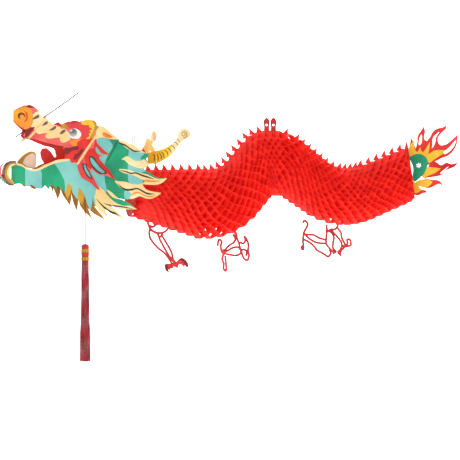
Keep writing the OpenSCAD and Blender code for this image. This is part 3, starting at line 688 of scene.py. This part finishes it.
HORN = {
    "body": [(-20, -10, 1), (1, -9), (18, -2), (35, 8), (47, 21), (56, 34), (65, 41), (77, 47),
     (80, 58), (71, 66), (58, 65), (52, 56), (48, 43), (35, 32), (18, 23), (-1, 18), (-20, 14,
     1)],
    "light": [(28, -1, 1), (35, 8), (47, 21), (56, 34), (65, 40), (80, 47), (81, 58), (71, 68),
     (58, 67), (51, 56), (47, 44), (37, 35, 1)],
}
CURL = {
    "outer": [(-266, 68, 1), (-280, 66), (-290, 56), (-294, 42), (-292, 28), (-283, 17), (-272,
     13, 1), (-267, 19, 1), (-276, 26), (-281, 36), (-280, 49), (-274, 56), (-265, 59, 1)],
    "gold": [(-269, 65, 1), (-280, 62), (-288, 53), (-291, 42), (-289, 30), (-281, 20), (-272, 16,
     1), (-269, 20, 1), (-278, 27), (-282, 36), (-281, 49), (-275, 57), (-267, 60, 1)],
    "cream": [(-268, 62, 1), (-278, 59), (-284, 50), (-286, 40), (-282, 30), (-272, 21, 1), (-274,
     26), (-279, 36), (-278, 49), (-272, 56), (-266, 59, 1)],
}
TAIL = {
    "disc": [(-1, 35, 1), (2, 28), (6, 16), (6, 5), (2, -12), (4, -20), (9, -20), (18, -14), (28,
     -7), (37, 7), (41, 18), (37, 30), (26, 38), (15, 39), (6, 36)],
    "r1": [(-11, 45, 1), (-4, 60), (-1, 74, 1), (2, 59), (2, 43, 1)],
    "r2": [(0, 44, 1), (7, 63), (11, 78, 1), (16, 62), (18, 43, 1)],
    "r3": [(23, 63), (26, 78), (35, 88), (42, 97, 1), (44, 86), (40, 74), (41, 67), (45, 64), (54,
     47, 1), (34, 32, 1), (13, 42, 1)],
    "r4": [(45, 64), (53, 72), (60, 82), (71, 88), (84, 89), (93, 94, 1), (89, 84), (80, 78), (71,
     69), (69, 60), (73, 51), (85, 51), (97, 57), (107, 64), (115, 69), (116, 74, 1), (110, 50),
     (101, 36), (88, 26), (75, 23), (63, 19), (35, 10, 1), (25, 36, 1)],
    "r5": [(45, 17, 1), (58, 16), (68, 7), (80, 11), (92, 6), (106, 8, 1), (98, 0), (87, -3), (75,
     -7), (67, -14), (54, -16), (27, -16, 1)],
    "r6": [(29, -16, 1), (44, -22), (55, -24), (63, -30), (66, -39, 1), (60, -34), (53, -34), (42,
     -38), (33, -39), (18, -34, 1)],
    "r7": [(3, -26, 1), (17, -39), (27, -43), (28, -48, 1), (18, -49), (9, -52), (-4, -47, 1)],
    "o3": [(26, 58), (29, 71), (35, 80), (35, 72), (32, 61)],
    "o4": [(56, 54), (59, 69), (69, 77), (75, 80), (66, 70), (62, 57), (54, 47)],
    "o4b": [(79, 35), (93, 44), (104, 54), (109, 57), (103, 45), (92, 35), (80, 30)],
    "o5": [(64, -10), (78, -1), (85, 2), (74, -6), (68, -11)],
    "y1": [(-1, 37), (4, 57, 1), (19, 72, 1), (15, 55), (20, 43), (28, 53, 1), (33, 41), (51, 61,
     1), (47, 44), (40, 27, 1), (16, 35)],
    "y2": [(35, 28), (53, 39), (66, 41), (88, 37, 1), (71, 29), (54, 21), (43, 16)],
    "y3": [(32, 6), (48, 5), (67, 0, 1), (55, -7), (41, -11), (23, -15)],
    "y4": [(11, -20), (31, -18), (45, -27, 1), (33, -36), (18, -34), (6, -26)],
    "y5": [(0, -18), (10, -28), (19, -41, 1), (5, -46), (-5, -38)],
    "y0": [(-13, 49, 1), (-3, 53), (2, 39, 1), (2, 28), (-6, 33)],
}
NEAR_FRONT = [
    [(-24, 12), (-20, 1), (-14, -5), (-6, -10), (6, -10), (14, -7), (20, -1), (23, 2)],
    [(-20, 6), (-13, 3), (-4, 9)],
    [(-19, 1), (-21, -10), (-19, -21), (-12, -32), (-1, -44), (12, -54), (21, -65), (28, -76)],
    [(-20, -4), (-4, -11), (3, -26), (12, -43), (23, -61), (34, -75)],
    [(6, -15), (14, -28), (23, -43), (29, -56), (31, -67), (36, -75)],
    [(-6, -10), (8, -12), (1, -21)],
]
NEAR_FRONT_CLAW = [
    [(14, -79), (23, -78), (30, -76), (36, -76), (45, -67), (52, -65), (61, -72), (65, -81), (62,
     -88, 1), (57, -81), (47, -77), (45, -78), (41, -88, 1), (32, -84), (30, -90, 1), (24, -87),
     (21, -92), (24, -97, 1), (16, -94), (13, -85)],
]
FAR_FRONT = [
    [(20, 7), (25, -6), (30, -20), (33, -31), (35, -39)],
    [(17, 0), (22, -9), (19, -17), (13, -21), (6, -26), (0, -33), (-7, -35)],
    [(-17, -24), (-15, -13), (-11, -12), (-8, -17), (-10, -24), (-9, -35), (-5, -42)],
    [(-5, -40), (6, -35), (17, -29), (28, -28), (34, -35), (33, -42), (24, -46), (13, -45), (0,
     -42), (-5, -40)],
    [(-3, -42), (-7, -53), (-4, -64), (-4, -75), (0, -80), (2, -75), (1, -61), (0, -48)],
    [(33, -17), (39, -20), (44, -13), (42, -4), (48, -13), (51, -24), (50, -35), (52, -46), (49,
     -56), (42, -54), (37, -44), (36, -35), (41, -33), (47, -37), (46, -46)],
    [(20, 7), (24, 2), (25, -6)],
]
NEAR_HIND = [
    [(-16, 1), (-16, -17), (-17, -30), (-17, -39), (-13, -46), (-6, -54), (0, -58)],
    [(-65, -19), (-55, -20), (-44, -21), (-33, -27), (-20, -31)],
    [(-64, -19), (-55, -28), (-42, -36), (-28, -39), (-17, -39)],
    [(-67, -30), (-57, -35), (-46, -43), (-37, -54), (-26, -60), (-17, -66), (-12, -68), (-7,
     -61), (-9, -54)],
    [(-68, 7), (-64, 11), (-58, 5), (-59, -2), (-60, -4), (-65, -13), (-67, -21), (-68, -35),
     (-67, -43), (-69, -52)],
    [(-17, -15), (-9, -10)],
    [(-4, -17), (0, -26), (-2, -39), (-2, -50), (4, -57), (-2, -61)],
    [(-17, -8), (-9, -13), (-4, -17)],
]
NEAR_HIND_CLAW = [
    [(-73, -46), (-68, -42), (-64, -48), (-67, -55), (-72, -53)],
]
FAR_HIND = [
    [(-3, -2), (-9, -8), (-18, -8)],
    [(-18, -8), (-9, -19), (-1, -28), (5, -37), (6, -46), (2, -54), (-2, -59), (4, -66)],
    [(-3, -6), (4, -15), (6, -26), (11, -37), (15, -43)],
    [(6, -46), (15, -43), (19, -39), (18, -31), (24, -31), (26, -39), (25, -44), (15, -46)],
    [(15, -43), (10, -50), (5, -55), (3, -61)],
    [(-3, 0), (-3, -6)],
]


def layers_of(shapes, inks):
    """The sheet's outline in its first ink, then every named shape on it."""
    return [(smooth_line(shapes[name]), ink) for name, ink in inks]


def head_cards():
    face = layers_of(FACE, [
        ("outline", "pink"), ("snout_cream", "cream"), ("lip", "red_dark"), ("nose", "nose"),
        ("nose_deep", "orange"), ("under_nose", "red_dark"), ("tip_patch", "red_dark"),
        ("nostril", "red_dark"), ("ring", "red"), ("wrinkle1", "grey"), ("wrinkle2", "grey"),
        ("wrinkle3", "grey"), ("wrinkle4", "grey"), ("under_eye", "orange"),
        ("flame_red", "red"), ("pink_tail", "pink_deep"), ("flame_edge", "pink"), ("cheek", "red"),
        ("spot1", "red_dark"), ("spot2", "red_dark"), ("back_red", "red"), ("wedge", "cream"),
        ("wedge_spot", "orange"), ("ball", "yellow"), ("ball_shade", "gold"),
        ("brow", "pink_deep"), ("brow_tip", "gold"), ("eye_white", "white"),
        ("cream_edge1", "cream"), ("cream_edge2", "cream"), ("line_open1", "black"),
        ("line_open2", "black"), ("open1", HOLE), ("open2", HOLE)])
    face_obj = painted_sheet("face_print", face, card_half(FACE_GAP, NOSE_SETBACK), CARD_T, INK["pink_deep"],
                             grid=14, sides=2)
    jaw = layers_of(JAW, [
        ("outline", "green"), ("teal", "teal"), ("green2", "green"), ("teal2", "teal"),
        ("teal6", "cream"), ("green3", "green"), ("teal4", "teal"), ("teal5", "teal"),
        ("green4", "green"), ("teal3", "teal"), ("f_top", "cream"), ("f1", "cream"), ("f2", "cream"),
        ("f3", "cream"), ("f4", "cream"), ("f5", "cream"), ("f6", "cream"), ("l_top", "black"),
        ("l2a", "black"), ("l2b", "orange"), ("l3a", "black"), ("l3b", "orange"), ("l5", "black"),
        ("l6", "black"), ("gold1", "gold"), ("gold2", "gold"),
        ("lip", "cream")])
    jaw_obj = painted_sheet("jaw_print", jaw, card_half(JAW_GAP, JAW_SETBACK, curl=6), CARD_T, CARD_BACK,
                            grid=14, sides=2)
    for obj, node, slot in ((face_obj, "face_card", "printed_face_card"),
                            (jaw_obj, "jaw_card", "printed_jaw_card")):
        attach(obj, "head")
        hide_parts(node)


head_cards()


def drawn_in(outline, middle, share_x, share_y):
    """The outline, smaller about a middle point; a third value marks a sharp corner."""
    return [(middle[0] + (p[0] - middle[0]) * share_x, middle[1] + (p[1] - middle[1]) * share_y, *p[2:])
            for p in outline]


def horn(name, node, side):
    """A flat card horn with dark cross stripes, sweeping up into a printed spiral."""
    foot, flare = (40, 55, 72), math.radians(42)
    body_middle, curl_middle, curl_r = (32, 22), (65.5, 54), 8.3
    layers = [(smooth_line(HORN["body"]), "gold"),
              (smooth_line(drawn_in(HORN["body"], body_middle, 0.965, 0.955)), "yellow"),
              (smooth_line(drawn_in(HORN["light"], curl_middle, 0.94, 0.94)), "cream")]
    spine = [Vector(p) for p in smooth_line([(-12, 3), (0, 4), (9, 6.5), (18, 10), (29, 17), (39, 25),
                                             (47, 34), (53, 43)], closed=False, steps=6)]
    stripes, stripe_bow = 9, 3.4
    for k in range(stripes):
        t = (k + 0.7) / stripes
        at = int(t * (len(spine) - 2))
        n = (spine[at + 1] - spine[at]).normalized()
        d = Vector((-n.y, n.x))
        half = 10.5 - 4.5 * t
        arc = [spine[at] + d * half * c + n * stripe_bow * (1 - c * c) for c in (-0.8, -0.4, 0, 0.4, 0.8)]
        layers.append((ribbon(smooth_line([tuple(p) for p in arc], closed=False), 2.3 - 0.9 * t), "black"))
    steps, start_angle, sweep = 26, 250, 600
    spiral = []
    for k in range(steps):
        a = math.radians(start_angle + sweep * k / steps)
        r = curl_r * (1 - 0.85 * k / steps)
        spiral.append((curl_middle[0] + r * math.cos(a), curl_middle[1] + r * math.sin(a)))
    layers += [(ribbon([a, b], 1.3), "black") for a, b in zip(spiral, spiral[1:])]

    def place(u, v, _):
        lift = 3 * (u / 70) ** 2
        return in_head((foot[0] + u * math.cos(flare), side * (foot[1] + u * math.sin(flare) + lift),
                        foot[2] + v))

    obj = painted_sheet(name, layers, place, CARD_T, INK["cream"], grid=9)
    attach(obj, "head")
    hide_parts(node)


horn("horn_left_print", "left_horn", -1)
horn("horn_right_print", "right_horn", 1)


def chin_strip(name, line, width, ink):
    """A paper strip across the head's middle plane that follows a line in it."""
    fine = smooth_line(line, closed=False, steps=6)
    points, faces = [], []
    for k, p in enumerate(fine):
        for i in range(5):
            points.append(in_head((p[0], (i / 4 - 0.5) * width, p[1])))
    for k in range(len(fine) - 1):
        for i in range(4):
            j = k * 5 + i
            faces.append((j, j + 1, j + 6, j + 5))
    obj = mesh_object(name, points, faces, [INK[ink]])
    solid = obj.modifiers.new("thickness", "SOLIDIFY")
    solid.thickness = STRIP_T * MM
    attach(obj, "head")
    return obj


def chin_curls():
    """Three curled paper strips in front of the chin, and a few cut green hairs."""
    x = -HEAD_LEN - 1
    outer = chin_strip("chin_curl_outer", [(x, 62), (x - 12, 64), (x - 22, 55), (x - 23, 38), (x - 14, 26),
                                           (x, 24)], 14, "pink_deep")
    chin_strip("chin_curl_middle", [(x, 57), (x - 9, 58), (x - 17, 50), (x - 17, 39), (x - 10, 31),
                                    (x - 1, 29)], 12, "gold")
    chin_strip("chin_curl_inner", [(x, 52), (x - 7, 52), (x - 12, 46), (x - 11, 39), (x - 6, 36)], 10,
               "cream")
    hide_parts("chin_curl")
    for side in (-1, 1):
        band = painted_sheet(f"chin_curl_side_{side + 1}", [
            (smooth_line(CURL["outer"]), "grey"), (smooth_line(CURL["gold"]), "gold"),
            (smooth_line(CURL["cream"]), "cream")], lambda s, z, _, side=side: in_head((s, side * 7, z)), 0.4,
            INK["gold"])
        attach(band, "head")
    hairs = []
    for k in range(9):
        a = math.radians(196 + 13 * k)
        root = (x - 14 + 9 * math.cos(a), 36 + 9 * math.sin(a))
        size = 9 + 4 * ((k * 7) % 3)
        tip = (root[0] + size * math.cos(a + 0.2), root[1] + size * math.sin(a + 0.2))
        mid = ((root[0] + tip[0]) / 2 + 1.2, (root[1] + tip[1]) / 2 - 1.0)
        hairs.append((ribbon([root, mid, tip], 2.2, 0.8), "green" if k % 2 else "teal"))
    obj = painted_sheet("chin_hairs", hairs, lambda s, z, side: in_head((s, 2.0 * math.sin(s), z)), 0.3,
                        INK["green"], clip=False)
    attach(obj, "head")


chin_curls()

SPREADER = material("spreader_card", rgb(246, 214, 150), 0.5, 0.15, second=rgb(226, 150, 60), second_scale=9)
MANE = material("mane_card", rgb(14, 120, 84), 0.5, 0.2, second=rgb(6, 90, 64), second_scale=14)
RED_CARD = material("red_card", rgb(214, 34, 28), 0.65, 0.15, second=rgb(176, 18, 18))
FOIL = material("silver_foil", rgb(158, 158, 160), 0.3, 0.1, metal=1.0, bump=0.35, grain=60)
GOLD_FOIL = material("gold_foil", rgb(226, 176, 62), 0.22, 0.1, metal=1.0, bump=0.4, grain=40)
WIRE = material("wire", rgb(20, 18, 20), 0.7, 0.1)
SILK = material("silk", rgb(196, 20, 40), 0.42, 0.2, second=rgb(150, 6, 22), second_scale=120,
                stretch=(1, 1, 0.06), sheen=0.5)
SILK_DARK = material("silk_dark", rgb(96, 8, 20), 0.6, 0.25, stretch=(1, 1, 0.3))
# The horn bridge's glow is painted light: it brightens the side of the bridge that faces away from the lamps.
BRIDGE_PAINTED_GLOW = material("bridge_card_painted_glow", rgb(250, 200, 46), 0.45, 0.1, second=rgb(240, 150, 30), second_scale=22,
                  glow=0.3)

CARD_FINISH = {
    "snout_plate": SPREADER, "forehead_plate": SPREADER, "mane_plate": MANE, "neck_strip": RED_CARD,
    "front_end_card": RED_CARD, "tail_end_card": RED_CARD, "left_eye": FOIL, "right_eye": FOIL,
    "tongue": INK["red"], "horn_bridge": BRIDGE_PAINTED_GLOW,
    "lock_tabs": INK["red"], "tassel_bands": GOLD_FOIL,
}
for node, finish in CARD_FINISH.items():
    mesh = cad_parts[node].data
    mesh.materials.clear()
    mesh.materials.append(finish)


def fang():
    """A pale see-through plate with a gold edge, standing in the middle of the jaw."""
    outline = [(-262, 64, 1), (-254, 74), (-246, 81), (-236, 87), (-227, 89, 1), (-218, 84), (-217, 66),
               (-220, 50, 1), (-236, 52, 1)]
    pale = [(-248, 62, 1), (-244, 72), (-236, 80), (-226, 84, 1), (-219, 81), (-218, 66), (-220, 51, 1),
            (-236, 53, 1)]
    obj = painted_sheet("fang_print", [(smooth_line(outline), "gold"), (smooth_line(pale), "pale")],
                        lambda s, z, _: in_head((s, 0.4 * math.sin(z / 9), z)), CARD_T, INK["pale"])
    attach(obj, "head")
    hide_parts("fang")


def whisker():
    """A slightly bent wire through the snout plate."""
    low, high = Vector((-265, 0, 119)), Vector((-120, 0, 218))
    path = []
    for k in range(25):
        t = k / 24
        p = low.lerp(high, t) + Vector((0.6, 0, -1)) * 2.2 * math.sin(math.pi * t) * (t - 0.35)
        path.append(in_head(tuple(p)))
    obj = round_line("whisker", path, WHISKER_R, WIRE)
    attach(obj, "head")
    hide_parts("whisker_wire")


# ---- Legs: thin strokes of cut paper, dark along their edges ----
def leg(name, node, body, at, side, shift, strokes, claws=()):
    layers = []
    lines = [smooth_line(s, closed=False, steps=4) for s in strokes]
    for width, ink in ((4.6, "red_dark"), (2.3, "red")):
        for line in lines:
            for a, b in zip(line, line[1:]):
                if math.dist(a, b) > 0.05:
                    d = Vector((b[0] - a[0], b[1] - a[1])).normalized()
                    n = Vector((-d.y, d.x)) * width / 2
                    ends = Vector(a) - d * width * 0.3, Vector(b) + d * width * 0.3
                    layers.append(([tuple(ends[0] + n), tuple(ends[0] - n), tuple(ends[1] - n),
                                    tuple(ends[1] + n)], ink))
        if width > 3:
            layers += [(smooth_line(c), "red_dark") for c in claws]
        else:
            for c in claws:
                mid = Vector((sum(p[0] for p in c) / len(c), sum(p[1] for p in c) / len(c)))
                layers.append((smooth_line([(*(mid.lerp(Vector(p[:2]), 0.72)), *p[2:]) for p in c]), "red"))
    r, a = leaf_r(at), math.radians(LEAF_LEAN * at[2])
    foot = (at[0] + r * math.sin(a) + shift, at[1] - r * math.cos(a) - LEG_GAP)

    def place(x, z, _):
        wave = 0.8 * noise.noise(Vector((x, z, side)) * 0.04)
        return (foot[0] + x, side * LEG_OFFSET + wave, foot[1] + z)

    obj = painted_sheet(name, layers, place, 0.5, INK["red_dark"], clip=False)
    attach(obj, body)
    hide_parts(node)


FRONT_FOOT, HIND_FOOT = STATIONS["front_left"], STATIONS["hind"]
leg("leg_front_near", "front_left_leg", "front_left_leg", FRONT_FOOT, -1, -5.5, NEAR_FRONT, NEAR_FRONT_CLAW)
leg("leg_front_far", "front_right_leg", "front_right_leg", STATIONS["front_right"], 1, -7, FAR_FRONT)
leg("leg_hind_near", "hind_left_leg", "hind_left_leg", HIND_FOOT, -1, -6, NEAR_HIND, NEAR_HIND_CLAW)
leg("leg_hind_far", "hind_right_leg", "hind_right_leg", HIND_FOOT, 1, 6, FAR_HIND)


# ---- Tail fan ----
def tail_fan():
    at = STATIONS["tail_end"]
    names = [("disc", "green_dark")] + [(f"r{k}", "red") for k in range(1, 8)]
    names += [(f"y{k}", "yellow") for k in (1, 2, 3, 4, 5, 0)]
    names += [("o3", HOLE), ("o4", HOLE), ("o4b", HOLE), ("o5", HOLE), ("disc", "green")]
    layers = [(smooth_line(TAIL[name]), ink) for name, ink in names]
    star = []
    for k in range(12):
        a = math.radians(30 * k)
        r = 6.6 if k % 2 else 3
        star.append((19.5 + r * math.cos(a), 13.5 + r * math.sin(a)))
    layers.append(([(19.5 + (x - 19.5) * 1.35, 13.5 + (z - 13.5) * 1.35) for x, z in star], "green_dark"))
    layers.append((star, HOLE))

    def place(x, z, _):
        d = max(0, x - 20)
        return at_station(at, (x, 0.0012 * d * d * math.sin(z / 25), z))

    obj = painted_sheet("tail_fan_print", layers, place, CARD_T, CARD_BACK, grid=12, clip=False)
    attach(obj, "tail")
    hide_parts("tail_fan")


tail_fan()


# ---- Tassel ----
MANE_FOOT, MANE_TOP, MANE_DROP, HOLE_DROP = (-74, 68), (-50, 116), 76, 70
MANE_LEAN = math.atan2(MANE_TOP[1] - MANE_FOOT[1], MANE_TOP[0] - MANE_FOOT[0])
TASSEL = (MANE_FOOT[0] - HOLE_DROP * math.cos(MANE_LEAN), 0, MANE_FOOT[1] - HOLE_DROP * math.sin(MANE_LEAN))
KNOT_R, KNOT_GAP = 2.6, 1
KNOT_Z = -(MANE_DROP - HOLE_DROP) - KNOT_R - KNOT_GAP
CORD_TOP = KNOT_Z - KNOT_R - KNOT_GAP
CAP_TOP = CORD_TOP - CORD_LEN


def in_tassel(x, y, z):
    return in_head((TASSEL[0] + x, y, TASSEL[2] + z))


def lathe(name, profile, finish, ribs=0, rib_h=0.0, around=48):
    """A turned soft piece about the tassel's axis, with fine upright ribs of thread."""
    points, faces = [], []
    for r, z in profile:
        for i in range(around):
            a = 2 * math.pi * i / around
            rr = r * (1 + rib_h * math.cos(ribs * a)) + 0.15 * noise.noise(Vector((r * math.cos(a), z, i)))
            points.append(in_tassel(rr * math.cos(a), rr * math.sin(a), z))
    for k in range(len(profile) - 1):
        for i in range(around):
            j = (i + 1) % around
            faces.append((k * around + i, k * around + j, (k + 1) * around + j, (k + 1) * around + i))
    faces.append(tuple(range(around)))
    faces.append(tuple((len(profile) - 1) * around + i for i in range(around - 1, -1, -1)))
    return mesh_object(name, points, faces, [finish])


def add_tube(points, faces, line, radius, sides=3):
    start = len(points)
    for k, p in enumerate(line):
        for i in range(sides):
            a = 2 * math.pi * i / sides + 0.3 * k
            points.append((p[0] + radius * math.cos(a), p[1] + radius * math.sin(a), p[2]))
    for k in range(len(line) - 1):
        for i in range(sides):
            j = (i + 1) % sides
            faces.append((start + k * sides + i, start + k * sides + j,
                          start + (k + 1) * sides + j, start + (k + 1) * sides + i))


def round_line(name, path, radius, finish):
    """A round cord or wire along a path, in millimetres."""
    line = bpy.data.curves.new(name, "CURVE")
    line.dimensions = "3D"
    line.bevel_depth = radius * MM
    line.bevel_resolution = 4
    line.use_fill_caps = True
    line.materials.append(finish)
    spline = line.splines.new("POLY")
    spline.points.add(len(path) - 1)
    for point, p in zip(spline.points, path):
        point.co = (*(c * MM for c in p), 1)
    return new_object(name, line)


def tassel():
    steps = 20
    path = [in_tassel(0, 0, CORD_TOP - CORD_LEN * k / steps) for k in range(steps + 1)]
    cord = round_line("tassel_cord_silk", path, CORD_D / 2, SILK_DARK)
    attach(cord, "tassel")
    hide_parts("tassel_cord")


def tassel_body():
    low = CAP_TOP - CAP_H
    cap = lathe("tassel_cap_silk", [(CAP_R * k, low + CAP_H * z) for k, z in (
        (0.96, 0), (1.0, 0.1), (0.9, 0.24), (1.0, 0.36), (1.0, 0.62), (0.92, 0.74), (1.0, 0.82),
        (0.94, 0.9), (0.74, 0.97), (0.3, 1.0))], SILK, ribs=24, rib_h=0.025, around=96)
    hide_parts("tassel_cap")
    points, faces = [], []
    strands, steps = (420), 26
    locks = 13
    for k in range(strands):
        spin, depth = k * 2.39996, math.sqrt((k + 0.5) / strands)
        lock = k % locks
        reach = SKIRT_LEN * (1 - 0.06 * random.random() ** 2)
        path = []
        for i in range(steps + 1):
            t = i / steps
            r = (CAP_R * 0.86 + (SKIRT_R - CAP_R) * 1.0 * t) * depth
            pull = 2.0 * t ** 3
            x = r * math.cos(spin) + pull * math.cos(lock * 2.4) + 0.5 * math.sin(9 * t + lock)
            y = r * math.sin(spin) + pull * math.sin(lock * 2.4) + 0.5 * math.cos(8 * t + lock)
            x += 0.35 * math.sin(34 * t + k) * t
            limit = (SKIRT_R - 0.6) / max(SKIRT_R - 0.6, math.hypot(x, y))
            path.append(in_tassel(x * limit, y * limit, low + 0.5 - reach * t))
        add_tube(points, faces, path, 0.42)
    skirt = mesh_object("tassel_skirt_silk", points, faces, [SILK])
    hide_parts("tassel_skirt")
    for obj in (cap, skirt):
        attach(obj, "tassel")
    knot_points, knot_faces = [], []
    path = []
    for i in range(41):
        a = 2 * math.pi * i / 40 * 2
        r = 1.35 + 0.45 * math.cos(1.5 * a)
        path.append(in_tassel(r * math.cos(a), r * math.sin(a), KNOT_Z + 0.95 * math.sin(1.5 * a) - 0.0))
    add_tube(knot_points, knot_faces, path, 0.95, 8)
    knot = mesh_object("tassel_knot_silk", knot_points, knot_faces, [SILK_DARK])
    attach(knot, "tassel_knot")
    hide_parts("tassel_knot")


tassel_body()
tassel()
whisker()
fang()


# ---- Stage: white sweep and soft light ----
LIGHTS = [  # name, place in metres, size in metres, power in watts
    ("key", (-1.6, -2.6, 1.6), 1.6, 22), ("fill", (2.2, -2.2, 0.6), 2.0, 7),
    ("back", (0.6, 1.6, 1.4), 1.4, 24), ("sweep_light", (0, 0.6, 2.6), 3.0, 40),
]


def clear_from_behind(mat):
    """Lets a view from behind the sweep look through its back onto the dragon."""
    nodes, links = mat.node_tree.nodes, mat.node_tree.links
    out = nodes["Material Output"]
    front = out.inputs["Surface"].links[0].from_socket
    facing = nodes.new("ShaderNodeNewGeometry")
    clear = nodes.new("ShaderNodeBsdfTransparent")
    mix = nodes.new("ShaderNodeMixShader")
    links.new(facing.outputs["Backfacing"], mix.inputs["Fac"])
    links.new(front, mix.inputs[1])
    links.new(clear.outputs["BSDF"], mix.inputs[2])
    links.new(mix.outputs["Shader"], out.inputs["Surface"])


def stage():
    points, faces = [], []
    floor_z, back_y, bend, half = -0.95, 2.2, 0.9, 6.0
    profile = [(-6.0, floor_z), (back_y - bend, floor_z)]
    for k in range(1, 13):
        a = math.pi / 2 * k / 12
        profile.append((back_y - bend + bend * math.sin(a), floor_z + bend - bend * math.cos(a)))
    profile.append((back_y, 5.0))
    for y, z in profile:
        points += [(-half, y, z), (half, y, z)]
    for k in range(len(profile) - 1):
        faces.append((2 * k, 2 * k + 1, 2 * k + 3, 2 * k + 2))
    mesh = bpy.data.meshes.new("sweep")
    mesh.from_pydata(points, [], faces)
    for face in mesh.polygons:
        face.use_smooth = True
    white = material("sweep_white", (0.9, 0.9, 0.9), 0.9, 0.01, glow=0.8)
    clear_from_behind(white)
    mesh.materials.append(white)
    new_object("sweep", mesh)
    world = bpy.data.worlds.new("world")
    world.use_nodes = True
    world.node_tree.nodes["Background"].inputs["Color"].default_value = (1, 1, 1, 1)
    world.node_tree.nodes["Background"].inputs["Strength"].default_value = 0.46
    bpy.context.scene.world = world
    for name, where, size, power in LIGHTS:
        lamp = bpy.data.lights.new(name, "AREA")
        lamp.size = size
        lamp.energy = power
        obj = bpy.data.objects.new(name, lamp)
        bpy.context.collection.objects.link(obj)
        obj.location = where
        aim = Vector((0, 0.9 if name == "sweep_light" else 0, -0.3)) - Vector(where)
        obj.rotation_euler = aim.to_track_quat("-Z", "Y").to_euler()
    bpy.context.scene.view_settings.view_transform = "Standard"


stage()
